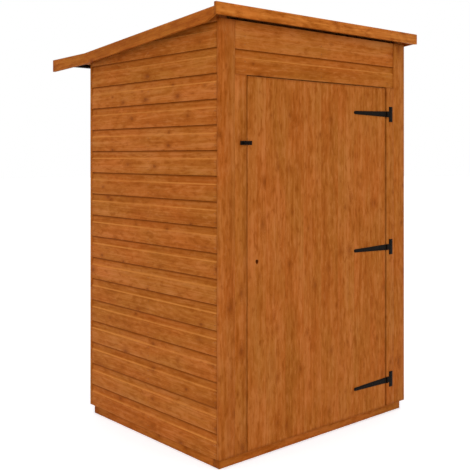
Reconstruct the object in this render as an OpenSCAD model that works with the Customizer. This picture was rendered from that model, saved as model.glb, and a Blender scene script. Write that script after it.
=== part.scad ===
// Pent tool shed: a timber shed with a single-slope roof, a braced door on T hinges and a hasp.
// Millimetres, +Z up, +Y towards the back. The origin is on the ground at the centre of the base.

/* [Walls] */
// Width over the side cladding
wall_w = 1310; // [1000:10:2000]
// Depth from the face of the front boards to the face of the back trims
wall_d = 1060; // [850:10:1800]
// Height of the cladding's bottom edge above the ground
clad_bottom = 45; // [30:1:50]
// Thickness of the horizontal cladding
clad_t = 12; // [8:0.5:16]
// Thickness of the vertical trims and of the boards beside the door
trim_t = 16; // [12:0.5:20]
// Width of each corner trim
trim_w = 90; // [70:1:110]
// Thickness of the framing, square to the wall
frame_t = 28; // [22:1:45]
// Width of the framing, seen in elevation
frame_w = 44; // [34:1:50]

/* [Base] */
// Height of the floor joists
joist_h = 58; // [54:1:90]
// Thickness of the floor joists
joist_t = 38; // [28:1:50]
// How far the joists stand back from the outer faces of the framing
joist_setback = 3; // [2:1:40]
// Thickness of the floor boards
floor_t = 12; // [9:0.5:22]

/* [Door] */
// Height of the doorway above the cladding's bottom edge
doorway_h = 1680; // [1400:10:1900]
// Height of wall above the doorway, up to the underside of the roof
header_h = 259; // [200:1:320]
// Gap between the front wall and the roof, which lets air through
vent_gap = 21; // [10:1:30]
// Width of front wall on the latch side of the doorway
latch_margin = 160; // [140:1:190]
// Width of front wall on the hinge side of the doorway
hinge_margin = 150; // [140:1:190]
// Gap all round the door
door_gap = 5.5; // [5.5:0.5:8]
// Gap between the door's boards, which are flush with the trims, and the posts behind them
door_back_gap = 5; // [5:0.5:7]
// How far the door posts reach into the doorway, behind the door
stop_lap = 15; // [10:1:20]
// Height of the ledges across the back of the door
ledge_h = 90; // [70:1:100]
// Thickness of the ledges and braces
ledge_t = 20; // [16:1:24]
// Width of the braces
brace_w = 70; // [50:1:90]
// Distance of the ledge and brace ends from the door posts
ledge_gap = 6; // [6:0.5:12]

/* [Hinges] */
// Distance of the top and bottom hinges from the door's ends
hinge_inset = 136; // [100:1:200]
// Length of a hinge strap from its pin
strap_l = 264; // [200:1:300]
// Height of a strap at its pin
strap_root = 30; // [22:1:34]
// Height of a strap at its tip
strap_tip = 16; // [10:1:20]
// Thickness of the straps and plates
iron_t = 3; // [2:0.25:4]
// Height of a hinge plate
plate_h = 80; // [70:1:100]
// Distance from the pin to the far edge of a hinge plate
plate_reach = 48; // [40:1:54]
// Width of a hinge plate's tall part
plate_w = 27; // [20:1:32]
// Radius of a hinge knuckle
knuckle_r = 4.5; // [4:0.1:5]
// Radius of a hinge pin
pin_r = 2.5; // [2:0.1:3]
// Radial play of a hinge pin in its knuckle
pin_play = 0.1; // [0.05:0.05:0.2]

/* [Hasp and lock] */
// Distance of the hasp below the top of the door
hasp_drop = 298; // [200:1:400]
// Height of the hasp
hasp_h = 18; // [16:1:24]
// Length of the hasp's leaf on the door
leaf_l = 24; // [20:1:40]
// Length of the hasp's strap from its pin
hasp_l = 47; // [42:1:56]
// Distance of the staple from the hasp's pin
staple_reach = 27; // [25:1:29]
// How far the staple's eye stands out
staple_out = 15; // [13:1:16]
// Radius of the padlock hole in the staple
padlock_r = 3.25; // [2.5:0.25:4]
// Width of metal round the padlock hole
eye_rim = 2.25; // [1.5:0.25:3]
// Play of the hasp's slot round the staple
hasp_play = 1.5; // [1:0.25:2]
// Radius of the keyhole's round part
key_r = 9; // [7:0.5:10]
// Distance of the keyhole from the door's free edge
keyhole_in = 57; // [50:1:70]
// Width of the lock case
lock_w = 80; // [70:1:100]
// Height of the lock case
lock_h = 66; // [50:1:80]
// Thickness of the lock case
lock_t = 22; // [16:1:26]

/* [Roof] */
// Slope of the roof over the walls, in degrees
roof_pitch = 5.4; // [3:0.1:12]
// Slope of the flatter eaves behind the back wall, in degrees
eaves_pitch = 1.2; // [0:0.1:3]
// Overhang at the front, to the face of the fascia
front_overhang = 45; // [30:1:80]
// Overhang at each side, to the face of the fascia
side_overhang = 55; // [30:1:90]
// Overhang of the eaves behind the back wall
back_overhang = 305; // [120:5:350]
// Thickness of the roof boards
deck_t = 12; // [9:0.5:18]
// Thickness of the felt
felt_t = 3; // [2:0.5:4]
// Height of the side fascia boards
fascia_h = 56; // [50:1:80]
// Height of the front fascia board
front_fascia_h = 53; // [45:1:80]
// Height of the side fascia boards at the end of the eaves
eaves_fascia_h = 64; // [50:1:80]
// Thickness of the fascia boards
fascia_t = 16; // [12:0.5:20]
// How far the front fascia stands above the felt
fascia_rise = 18; // [5:1:25]
// Length of the cut that lifts the left fascia's lower front corner
corner_cut = 62; // [20:1:120]
// Height of the right side fascia's slim front end
slim_h = 33; // [22:1:50]
// Length of the right side fascia's slim front end
slim_l = 80; // [20:1:150]
// Height of the batten under the rear edge
batten_h = 15; // [12:1:22]
// Width of the batten under the rear edge
batten_w = 40; // [30:1:60]

/* [Hidden] */
$fn = 48;

wood = [0.66, 0.37, 0.15];
frame_wood = [0.80, 0.62, 0.40];
felt_grey = [0.16, 0.16, 0.17];
iron = [0.06, 0.06, 0.06];

// Faces of the building, and of the framing behind the boards
front_y = -wall_d / 2;
back_y = wall_d / 2;
side_x = wall_w / 2;
frame_front_y = front_y + trim_t;
frame_back_y = back_y - trim_t;
frame_side_x = side_x - clad_t;
joist_side_x = frame_side_x - joist_setback;
joist_front_y = frame_front_y + joist_setback;
room_front_y = frame_front_y + frame_t;
room_back_y = frame_back_y - frame_t;
room_side_x = frame_side_x - frame_t;
floor_z = joist_h + floor_t;
trim_in_x = side_x - trim_w;

// Doorway and door
latch_jamb_x = -side_x + latch_margin;
hinge_jamb_x = side_x - hinge_margin;
doorway_z = clad_bottom + doorway_h;
door_left_x = latch_jamb_x + door_gap;
door_right_x = hinge_jamb_x - door_gap;
door_top_z = doorway_z - door_gap;
door_back_y = frame_front_y - door_back_gap;
post_left_x = latch_jamb_x + stop_lap;
post_right_x = hinge_jamb_x - stop_lap;
ledge_left_x = post_left_x + ledge_gap;
ledge_right_x = post_right_x - ledge_gap;
ledge_back_y = door_back_y + ledge_t;
threshold_h = frame_t;
head_z = doorway_z - stop_lap;

// Hinges: the pin stands just clear of the boards, over the middle of the gap
pin_x = hinge_jamb_x - door_gap / 2;
pin_y = front_y - knuckle_r - 0.5;
knuckle_play = 0.5;
knuckle_h = 9;
hinge_zs = [
    clad_bottom + hinge_inset,
    (clad_bottom + door_top_z) / 2,
    door_top_z - hinge_inset
];

// Hasp: its pin is over the door's free edge
hasp_z = door_top_z - hasp_drop;
hasp_pin_x = door_left_x + 1;
hasp_knuckle_r = 3;
hasp_pin_r = 1.2;
hasp_pin_y = front_y - hasp_knuckle_r - 0.2;
hasp_t = 2;
leaf_t = 2.5;
leaf_knuckle = 6;
staple_x = hasp_pin_x - staple_reach;
eye_w = 2 * (padlock_r + eye_rim);
eye_t = 3;
slot_h = eye_t + 2 * hasp_play;
slot_from = staple_reach - eye_w / 2 - hasp_play;
slot_to = staple_reach + eye_w / 2 + hasp_play + 2.5;
eye_y = front_y - staple_out + eye_w / 2;
staple_plate_w = 24;
staple_plate_h = 16;
staple_plate_t = 1.2;
lock_z = hinge_zs[1] + 6;
keyhole_x = door_left_x + keyhole_in;
lock_edge_x = ledge_left_x + 4;
key_slot_w = 8;
key_slot_h = 13;

// Roof: its underside passes through the top of the front wall and bends over the back rail.
// Pieces that meet on a slope lie a hair apart.
roof_front_z = doorway_z + header_h;
header_top_z = roof_front_z - vent_gap;
bend_y = frame_back_y - frame_t / 2;
deck_side_x = side_x + side_overhang - fascia_t;
deck_front_y = front_y - front_overhang + fascia_t;
fascia_back_y = back_y + back_overhang;
deck_back_y = fascia_back_y - felt_t - 2;
seat = 0.1;
deck_top = seat + deck_t;
felt_low = deck_top + seat;
felt_top = felt_low + felt_t;

function bend_z() = roof_front_z - tan(roof_pitch) * (bend_y - front_y);
function roof_z(y) = y <= bend_y
    ? roof_front_z - tan(roof_pitch) * (y - front_y)
    : bend_z() - tan(eaves_pitch) * (y - bend_y);
// The y values of a run under the roof, with the bend where the run crosses it
function run(y0, y1) = y0 < bend_y && bend_y < y1 ? [y0, bend_y, y1] : [y0, y1];
function backwards(list) = [for (i = [len(list) - 1 : -1 : 0]) list[i]];

// A box between two corners
module block(low, high) {
    translate(low) cube(high - low);
}

// An outline in Y and Z, drawn out along X
module along_x(x0, x1, points) {
    translate([x0, 0, 0]) rotate([90, 0, 90]) linear_extrude(x1 - x0) polygon(points);
}

// An outline in X and Z, drawn out towards -Y from y0
module towards_front(y0, depth) {
    translate([0, y0, 0]) rotate([90, 0, 0]) linear_extrude(depth) children();
}

// A piece that stands on z0 and reaches the underside of the roof
module up_to_roof(x0, x1, y0, y1, z0) {
    along_x(x0, x1, concat([[y0, z0]], [for (y = run(y0, y1)) [y, roof_z(y)]], [[y1, z0]]));
}

// A piece that follows the roof, between two heights above the underside of its boards
module roof_layer(x0, x1, y0, y1, low, high) {
    along_x(x0, x1, concat(
        [for (y = run(y0, y1)) [y, roof_z(y) + high]],
        [for (y = backwards(run(y0, y1))) [y, roof_z(y) + low]]
    ));
}

// Its child and the child's mirror image across the middle of the shed
module both_sides() {
    children();
    mirror([1, 0, 0]) children();
}

/* Base */

module floor_deck() {
    color(frame_wood) block(
        [-frame_side_x, frame_front_y, joist_h],
        [frame_side_x, frame_back_y, floor_z]
    );
}

module front_joist() {
    color(wood) block(
        [-joist_side_x, joist_front_y, 0],
        [joist_side_x, joist_front_y + joist_t, joist_h]
    );
}

module back_joist() {
    mirror([0, 1, 0]) front_joist();
}

module left_joist() {
    color(wood) block(
        [-joist_side_x, joist_front_y + joist_t, 0],
        [-joist_side_x + joist_t, -joist_front_y - joist_t, joist_h]
    );
}

module right_joist() {
    mirror([1, 0, 0]) left_joist();
}

module middle_joist() {
    inner_x = joist_side_x - joist_t;
    color(wood) block([-inner_x, -joist_t / 2, 0], [inner_x, joist_t / 2, joist_h]);
}

/* Walls */

module left_cladding() {
    color(wood) up_to_roof(-side_x, -frame_side_x, frame_front_y, frame_back_y, clad_bottom);
}

module right_cladding() {
    mirror([1, 0, 0]) left_cladding();
}

module back_cladding() {
    color(wood) up_to_roof(-trim_in_x, trim_in_x, frame_back_y, frame_back_y + clad_t, clad_bottom);
}

module header_cladding() {
    color(wood) block(
        [-trim_in_x, frame_front_y - clad_t, doorway_z],
        [trim_in_x, frame_front_y, header_top_z]
    );
}

module left_jamb_board() {
    color(wood) block(
        [-trim_in_x, front_y, clad_bottom],
        [latch_jamb_x, frame_front_y, doorway_z]
    );
}

module right_jamb_board() {
    color(wood) block(
        [hinge_jamb_x, front_y, clad_bottom],
        [trim_in_x, frame_front_y, doorway_z]
    );
}

module front_left_trim() {
    color(wood) block(
        [-side_x, front_y, clad_bottom],
        [-trim_in_x, frame_front_y, header_top_z]
    );
}

module front_right_trim() {
    mirror([1, 0, 0]) front_left_trim();
}

module back_left_trim() {
    color(wood) up_to_roof(-side_x, -trim_in_x, frame_back_y, back_y, clad_bottom);
}

module back_right_trim() {
    mirror([1, 0, 0]) back_left_trim();
}

/* Framing */

module corner_posts() {
    color(frame_wood) both_sides() {
        up_to_roof(
            -frame_side_x, -frame_side_x + frame_w, frame_front_y, room_front_y, floor_z
        );
        up_to_roof(
            -frame_side_x, -frame_side_x + frame_w, room_back_y, frame_back_y, floor_z
        );
    }
}

module door_posts() {
    color(frame_wood) for (x = [post_left_x - frame_w, post_right_x]) block(
        [x, frame_front_y, floor_z + threshold_h],
        [x + frame_w, room_front_y, header_top_z - frame_w]
    );
}

module middle_studs() {
    color(frame_wood) {
        both_sides() along_x(-frame_side_x, -room_side_x, [
            [-frame_w / 2, floor_z + frame_w],
            [-frame_w / 2, roof_z(-frame_w / 2) - frame_w - seat],
            [frame_w / 2, roof_z(frame_w / 2) - frame_w - seat],
            [frame_w / 2, floor_z + frame_w]
        ]);
        along_x(-frame_w / 2, frame_w / 2, concat(
            [[room_back_y, floor_z + frame_w]],
            [for (y = run(room_back_y, frame_back_y)) [y, roof_z(y) - frame_w - seat]],
            [[frame_back_y, floor_z + frame_w]]
        ));
    }
}

module bottom_rails() {
    color(frame_wood) {
        both_sides() block(
            [-frame_side_x, room_front_y, floor_z],
            [-room_side_x, room_back_y, floor_z + frame_w]
        );
        block(
            [-frame_side_x + frame_w, room_back_y, floor_z],
            [frame_side_x - frame_w, frame_back_y, floor_z + frame_w]
        );
    }
}

module side_top_rails() {
    color(frame_wood) both_sides() roof_layer(
        -frame_side_x, -room_side_x, room_front_y, room_back_y, -frame_w, 0
    );
}

module back_top_rail() {
    color(frame_wood) roof_layer(
        -frame_side_x + frame_w, frame_side_x - frame_w, room_back_y, frame_back_y, -frame_w, 0
    );
}

module front_top_rail() {
    color(frame_wood) block(
        [-frame_side_x + frame_w, frame_front_y, header_top_z - frame_w],
        [frame_side_x - frame_w, room_front_y, header_top_z]
    );
}

module head_rail() {
    color(frame_wood) block(
        [post_left_x, frame_front_y, head_z],
        [post_right_x, room_front_y, head_z + frame_w]
    );
}

module threshold() {
    color(frame_wood) block(
        [-frame_side_x + frame_w, frame_front_y, floor_z],
        [frame_side_x - frame_w, room_front_y, floor_z + threshold_h]
    );
}

/* Roof */

module roof_deck() {
    color(frame_wood) roof_layer(-deck_side_x, deck_side_x, deck_front_y, bend_y, seat, deck_top);
}

module eaves_deck() {
    color(frame_wood) roof_layer(-deck_side_x, deck_side_x, bend_y, deck_back_y, seat, deck_top);
}

// The felt lies on the boards and turns down over their rear edge
module roof_felt() {
    edge_y = deck_back_y + felt_t;
    color(felt_grey) along_x(-deck_side_x, deck_side_x, concat(
        [for (y = run(deck_front_y, edge_y)) [y, roof_z(y) + felt_top]],
        [
            [edge_y, roof_z(edge_y) - batten_h],
            [deck_back_y, roof_z(edge_y) - batten_h]
        ],
        [for (y = backwards(run(deck_front_y, deck_back_y))) [y, roof_z(y) + felt_low]]
    ));
}

module purlin() {
    color(frame_wood) roof_layer(
        -room_side_x, room_side_x, -frame_t / 2, frame_t / 2, -frame_w, 0
    );
}

module eaves_batten() {
    color(frame_wood) roof_layer(
        -deck_side_x, deck_side_x, deck_back_y - batten_w, deck_back_y, -batten_h, 0
    );
}

module front_fascia() {
    top_z = roof_z(deck_front_y) + felt_top + fascia_rise;
    color(wood) block(
        [-deck_side_x - fascia_t, deck_front_y - fascia_t, top_z - front_fascia_h],
        [deck_side_x + fascia_t, deck_front_y, top_z]
    );
}

// Its lower front corner is cut back to meet the underside of the front fascia
module left_fascia() {
    cut_y = deck_front_y + corner_cut;
    color(wood) along_x(-deck_side_x - fascia_t, -deck_side_x, [
        [deck_front_y, roof_z(deck_front_y) + felt_top],
        [bend_y, roof_z(bend_y) + felt_top],
        [bend_y, roof_z(bend_y) + felt_top - fascia_h],
        [cut_y, roof_z(cut_y) + felt_top - fascia_h],
        [deck_front_y, roof_z(deck_front_y) + felt_top + fascia_rise - front_fascia_h]
    ]);
}

// Its front end is cut slim, so that the front fascia hides it from the front
module right_fascia() {
    slim_y = deck_front_y + slim_l;
    full_y = slim_y + fascia_h - slim_h;
    color(wood) along_x(deck_side_x, deck_side_x + fascia_t, [
        [deck_front_y, roof_z(deck_front_y) + felt_top],
        [bend_y, roof_z(bend_y) + felt_top],
        [bend_y, roof_z(bend_y) + felt_top - fascia_h],
        [full_y, roof_z(full_y) + felt_top - fascia_h],
        [slim_y, roof_z(slim_y) + felt_top - slim_h],
        [deck_front_y, roof_z(deck_front_y) + felt_top - slim_h]
    ]);
}

// The board widens towards the end of the eaves
module left_eaves_fascia() {
    color(wood) along_x(-deck_side_x - fascia_t, -deck_side_x, [
        [bend_y, roof_z(bend_y) + felt_top],
        [fascia_back_y, roof_z(fascia_back_y) + felt_top],
        [fascia_back_y, roof_z(fascia_back_y) + felt_top - eaves_fascia_h],
        [bend_y, roof_z(bend_y) + felt_top - fascia_h]
    ]);
}

module right_eaves_fascia() {
    mirror([1, 0, 0]) left_eaves_fascia();
}

/* Door */

// The keyhole's outline about its own centre
module keyhole_outline() {
    circle(r = key_r);
    translate([-key_slot_w / 2, -key_slot_h]) square([key_slot_w, key_slot_h]);
}

module keyhole_cut() {
    translate([keyhole_x, 0, lock_z])
        towards_front(ledge_back_y + 1, ledge_back_y - front_y + 2) keyhole_outline();
}

module door_boards() {
    color(wood) difference() {
        block([door_left_x, front_y, clad_bottom], [door_right_x, door_back_y, door_top_z]);
        keyhole_cut();
    }
}

module door_ledges() {
    color(wood) difference() {
        for (z = hinge_zs) block(
            [ledge_left_x, door_back_y, z - ledge_h / 2],
            [ledge_right_x, ledge_back_y, z + ledge_h / 2]
        );
        keyhole_cut();
    }
}

// Each brace climbs from the hinge side of one ledge to the free side of the next
module door_braces() {
    color(wood) for (i = [0, 1]) {
        low_z = hinge_zs[i] + ledge_h / 2;
        high_z = hinge_zs[i + 1] - ledge_h / 2;
        run = ledge_right_x - ledge_left_x - brace_w;
        slant = brace_w * sqrt(1 + pow(run / (high_z - low_z), 2));
        towards_front(ledge_back_y, ledge_t) polygon([
            [ledge_right_x, low_z],
            [ledge_right_x - slant, low_z],
            [ledge_left_x, high_z],
            [ledge_left_x + slant, high_z]
        ]);
    }
}

module rim_lock() {
    color(iron) difference() {
        block(
            [lock_edge_x, ledge_back_y, lock_z - lock_h / 2],
            [lock_edge_x + lock_w, ledge_back_y + lock_t, lock_z + lock_h / 2]
        );
        translate([keyhole_x, 0, lock_z]) towards_front(ledge_back_y + 8, 9) keyhole_outline();
    }
}

/* Hinges */

// A round bar on the hinge pins' line, between two heights
module on_pin(z0, z1, r) {
    translate([pin_x, pin_y, z0]) cylinder(r = r, h = z1 - z0);
}

// The strap has a knuckle at each end of the pin, and its blade tapers across the door
module hinge_strap(z) {
    half = strap_root / 2;
    gap = knuckle_h / 2 + knuckle_play;
    blade_x = pin_x - knuckle_r - knuckle_play;
    tip_r = strap_tip / 2;
    tip_x = pin_x - strap_l + tip_r;
    difference() {
        union() {
            towards_front(front_y, iron_t) {
                polygon([
                    [blade_x, z - half],
                    [blade_x, z + half],
                    [tip_x, z + tip_r],
                    [tip_x, z - tip_r]
                ]);
                translate([tip_x, z]) circle(r = tip_r);
            }
            for (low = [z - half, z + gap]) {
                high = low + half - gap;
                on_pin(low, high, knuckle_r);
                block([blade_x, front_y - iron_t, low], [pin_x, front_y - 0.5, high]);
            }
        }
        on_pin(z - half - 1, z + half + 1, pin_r + pin_play);
    }
}

module hinge_straps() {
    color(iron) for (z = hinge_zs) hinge_strap(z);
}

// The plate holds the pin in its one knuckle, between the strap's two
module hinge_plate(z) {
    half = strap_root / 2;
    neck_x = pin_x + knuckle_r + knuckle_play;
    end_x = pin_x + plate_reach;
    block([neck_x, front_y - iron_t, z - half], [end_x, front_y, z + half]);
    block(
        [end_x - plate_w, front_y - iron_t, z - plate_h / 2],
        [end_x, front_y, z + plate_h / 2]
    );
    on_pin(z - knuckle_h / 2, z + knuckle_h / 2, knuckle_r);
    block(
        [pin_x, front_y - iron_t, z - knuckle_h / 2],
        [neck_x, front_y - 0.5, z + knuckle_h / 2]
    );
    on_pin(z - half, z + half, pin_r);
}

module hinge_plates() {
    color(iron) for (z = hinge_zs) hinge_plate(z);
}

/* Hasp */

module on_hasp_pin(z0, z1, r) {
    translate([hasp_pin_x, hasp_pin_y, hasp_z + z0]) cylinder(r = r, h = z1 - z0);
}

// The leaf is screwed to the door and holds the pin at both ends
module hasp_leaf() {
    end = hasp_h / 2;
    gap = leaf_knuckle / 2 + 0.4;
    leaf_x = hasp_pin_x + hasp_knuckle_r + 0.4;
    color(iron) {
        block(
            [leaf_x, front_y - leaf_t, hasp_z - end],
            [hasp_pin_x + leaf_l, front_y, hasp_z + end]
        );
        for (side = [-1, 1]) {
            low = side < 0 ? -end : gap;
            high = side < 0 ? -gap : end;
            on_hasp_pin(low, high, hasp_knuckle_r);
            block(
                [hasp_pin_x, front_y - leaf_t, hasp_z + low],
                [leaf_x, front_y - 0.3, hasp_z + high]
            );
        }
        on_hasp_pin(-end, end, hasp_pin_r);
    }
}

// The strap's slot passes over the staple's eye
module hasp_strap() {
    half = hasp_h / 2;
    knuckle = leaf_knuckle / 2;
    root_x = hasp_pin_x - hasp_knuckle_r - 0.4;
    color(iron) difference() {
        union() {
            on_hasp_pin(-knuckle, knuckle, hasp_knuckle_r);
            towards_front(hasp_pin_y + hasp_t / 2, hasp_t) {
                translate([root_x, hasp_z - knuckle]) square([hasp_pin_x - root_x, 2 * knuckle]);
                translate([hasp_pin_x - hasp_l, hasp_z - half])
                    square([root_x - hasp_pin_x + hasp_l, hasp_h]);
            }
        }
        on_hasp_pin(-knuckle - 1, knuckle + 1, hasp_pin_r + pin_play);
        block(
            [hasp_pin_x - slot_to, hasp_pin_y - hasp_t, hasp_z - slot_h / 2],
            [hasp_pin_x - slot_from, hasp_pin_y + hasp_t, hasp_z + slot_h / 2]
        );
    }
}

// The staple's plate is screwed to the jamb board
module staple_plate() {
    color(iron) block(
        [staple_x - staple_plate_w / 2, front_y - staple_plate_t, hasp_z - staple_plate_h / 2],
        [staple_x + staple_plate_w / 2, front_y, hasp_z + staple_plate_h / 2]
    );
}

// The staple's eye stands out of its plate and takes a padlock
module hasp_staple() {
    color(iron) difference() {
        union() {
            block(
                [staple_x - eye_w / 2, eye_y, hasp_z - eye_t / 2],
                [staple_x + eye_w / 2, front_y - staple_plate_t, hasp_z + eye_t / 2]
            );
            translate([staple_x, eye_y, hasp_z - eye_t / 2]) cylinder(d = eye_w, h = eye_t);
        }
        translate([staple_x, eye_y, hasp_z - eye_t]) cylinder(r = padlock_r, h = 2 * eye_t);
    }
}

floor_deck();
front_joist();
back_joist();
left_joist();
right_joist();
middle_joist();
left_cladding();
right_cladding();
back_cladding();
header_cladding();
left_jamb_board();
right_jamb_board();
front_left_trim();
front_right_trim();
back_left_trim();
back_right_trim();
corner_posts();
door_posts();
middle_studs();
bottom_rails();
side_top_rails();
back_top_rail();
front_top_rail();
head_rail();
threshold();
roof_deck();
eaves_deck();
roof_felt();
purlin();
eaves_batten();
front_fascia();
left_fascia();
right_fascia();
left_eaves_fascia();
right_eaves_fascia();
hinge_plates();
staple_plate();
hasp_staple();
door_boards();
door_ledges();
door_braces();
hinge_straps();
rim_lock();
hasp_leaf();
hasp_strap();
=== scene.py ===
"""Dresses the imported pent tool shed.

It gets shiplap walls, a ledged and braced door, a felted roof with deep rear eaves, and
black ironwork. Every length is in metres.
"""

from __future__ import annotations

import logging  # noqa: E402
import math  # noqa: E402
import random  # noqa: E402
from collections.abc import Callable, Iterable, Sequence  # noqa: E402
from dataclasses import dataclass, field  # noqa: E402
from enum import Enum  # noqa: E402
from functools import cache  # noqa: E402

import bmesh  # noqa: E402
import bpy  # noqa: E402
from mathutils import Matrix, Vector, noise  # noqa: E402

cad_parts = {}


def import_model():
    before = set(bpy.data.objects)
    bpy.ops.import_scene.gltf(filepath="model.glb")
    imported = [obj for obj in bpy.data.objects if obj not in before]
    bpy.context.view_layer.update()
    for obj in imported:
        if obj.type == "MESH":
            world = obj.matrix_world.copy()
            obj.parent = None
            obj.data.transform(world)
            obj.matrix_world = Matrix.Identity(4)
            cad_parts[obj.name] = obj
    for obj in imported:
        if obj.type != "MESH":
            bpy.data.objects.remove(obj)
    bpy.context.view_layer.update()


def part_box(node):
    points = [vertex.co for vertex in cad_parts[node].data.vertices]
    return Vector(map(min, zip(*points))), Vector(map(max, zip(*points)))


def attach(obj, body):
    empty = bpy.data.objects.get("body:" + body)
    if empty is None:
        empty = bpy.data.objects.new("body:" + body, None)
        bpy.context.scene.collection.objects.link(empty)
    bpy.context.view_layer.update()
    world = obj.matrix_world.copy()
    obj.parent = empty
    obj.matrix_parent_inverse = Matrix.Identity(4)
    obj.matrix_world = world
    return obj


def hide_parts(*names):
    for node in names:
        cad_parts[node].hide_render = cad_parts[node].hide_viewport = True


log = logging.getLogger("shed")

Triple = tuple[float, float, float]
Colour = Triple
Outline = Sequence[tuple[float, float]]
Box = tuple[Vector, Vector]

UP = Vector((0.0, 0.0, 1.0))
RIGHT = Vector((1.0, 0.0, 0.0))
BACK = Vector((0.0, 1.0, 0.0))
FRONT = -BACK
LEFT = -RIGHT

# How near two points are one, a point is at an end, and a point is on a cut.
MERGE = 2e-6
CLOSE = 1e-4
ON_PLANE = 1e-6
# Faces that meet within this angle are one flat face.
FLAT = math.radians(0.6)
# How much a stick's edges are eased, and the length below which they stay sharp.
EASED = 0.0012
TIGHT_JOINT = 0.010


class Body(Enum):
    """What a piece moves with."""

    SHED = "shed"
    DOOR = "door"
    HASP = "hasp"


class Slot(Enum):
    """The record's material slots."""

    WALL = "wall_timber"
    DOOR = "door_timber"
    TRIM = "trim_timber"
    FRAME = "frame_timber"
    FLOOR = "floor_timber"
    ROOF = "roof_timber"
    FELT = "felt"
    IRON = "black_iron"


# ---------------------------------------------------------------- materials


@dataclass(frozen=True)
class Cloud:
    """A kind of noise.

    stretch is how many clouds there are to a metre each way, detail is its octaves, and
    rough is how strong the finer octaves are.
    """

    stretch: Triple
    detail: float = 2.0
    rough: float = 0.5


STAIN_BLOTCH = Cloud((6.5, 16.0, 12.0), 4.0, 0.6)
STAIN_DRIFT = Cloud((2.6, 9.0, 9.0))
FIBRE = Cloud((15.0, 820.0, 820.0), 2.0, 0.6)
SAW_MARKS = Cloud((430.0, 9.0, 9.0))
GRAIN_TURN = Cloud((14.0, 30.0, 22.0))
GRAIN_CURL = Cloud((21.0, 58.0, 40.0), 3.0, 0.56)
KNOT_WOBBLE = Cloud((90.0, 140.0, 60.0))
HEART_DRIFT = Cloud((0.95, 4.5, 4.5))
RING_WAVER = Cloud((7.0, 70.0, 70.0), 2.0, 0.6)
PAINT_WEAR = Cloud((60.0, 60.0, 60.0), 4.0, 0.6)
PAINT_PITS = Cloud((900.0, 900.0, 900.0), 2.0, 0.6)
ZINC_TARNISH = Cloud((38.0, 38.0, 38.0), 3.0, 0.6)
ZINC_SPANGLE = Cloud((1300.0, 1300.0, 1300.0), 1.0, 0.5)
FELT_SCUFF = Cloud((5.0, 5.0, 5.0), 4.0, 0.62)
FELT_BALD = Cloud((60.0, 60.0, 60.0), 3.0, 0.6)
# Slate granules to a metre.
GRANULES = 620.0


class Signal:
    """A value inside a material. Arithmetic on signals adds Math nodes."""

    def __init__(self, recipe: Recipe, socket: bpy.types.NodeSocket) -> None:
        """Keeps the socket and the recipe that it belongs to."""
        self.recipe, self.socket = recipe, socket

    def _math(self, operation: str, *values: Signal | float) -> Signal:
        """Adds a Math node.

        Args:
            operation: the Math node's operation.
            values: its inputs, in order.

        Returns:
            The node's result.
        """
        return self.recipe.add(
            "ShaderNodeMath", {"operation": operation}, dict(enumerate(values))
        )

    def __add__(self, other: Signal | float) -> Signal:
        """Sum."""
        return self._math("ADD", self, other)

    def __sub__(self, other: Signal | float) -> Signal:
        """Difference."""
        return self._math("SUBTRACT", self, other)

    def __rsub__(self, other: Signal | float) -> Signal:
        """Difference from a number."""
        return self._math("SUBTRACT", other, self)

    def __mul__(self, other: Signal | float) -> Signal:
        """Product."""
        return self._math("MULTIPLY", self, other)

    def __truediv__(self, other: Signal | float) -> Signal:
        """Quotient."""
        return self._math("DIVIDE", self, other)

    def __rtruediv__(self, other: Signal | float) -> Signal:
        """Quotient of a number."""
        return self._math("DIVIDE", other, self)

    __radd__ = __add__
    __rmul__ = __mul__

    def fraction(self) -> Signal:
        """What is left above the whole number."""
        return self._math("FRACT", self)

    def least(self, other: Signal | float) -> Signal:
        """The smaller of the two."""
        return self._math("MINIMUM", self, other)

    def most(self, other: Signal | float) -> Signal:
        """The larger of the two."""
        return self._math("MAXIMUM", self, other)

    def rise(self, low: float, high: float) -> Signal:
        """0 below low and 1 above high, with a smooth step between."""
        return self.recipe.add(
            "ShaderNodeMapRange",
            {"interpolation_type": "SMOOTHSTEP"},
            {0: self, 1: low, 2: high},
        )

    def other(self, output: int | str) -> Signal:
        """Another output of the same node, by place or name."""
        return Signal(self.recipe, self.socket.node.outputs[output])


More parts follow.
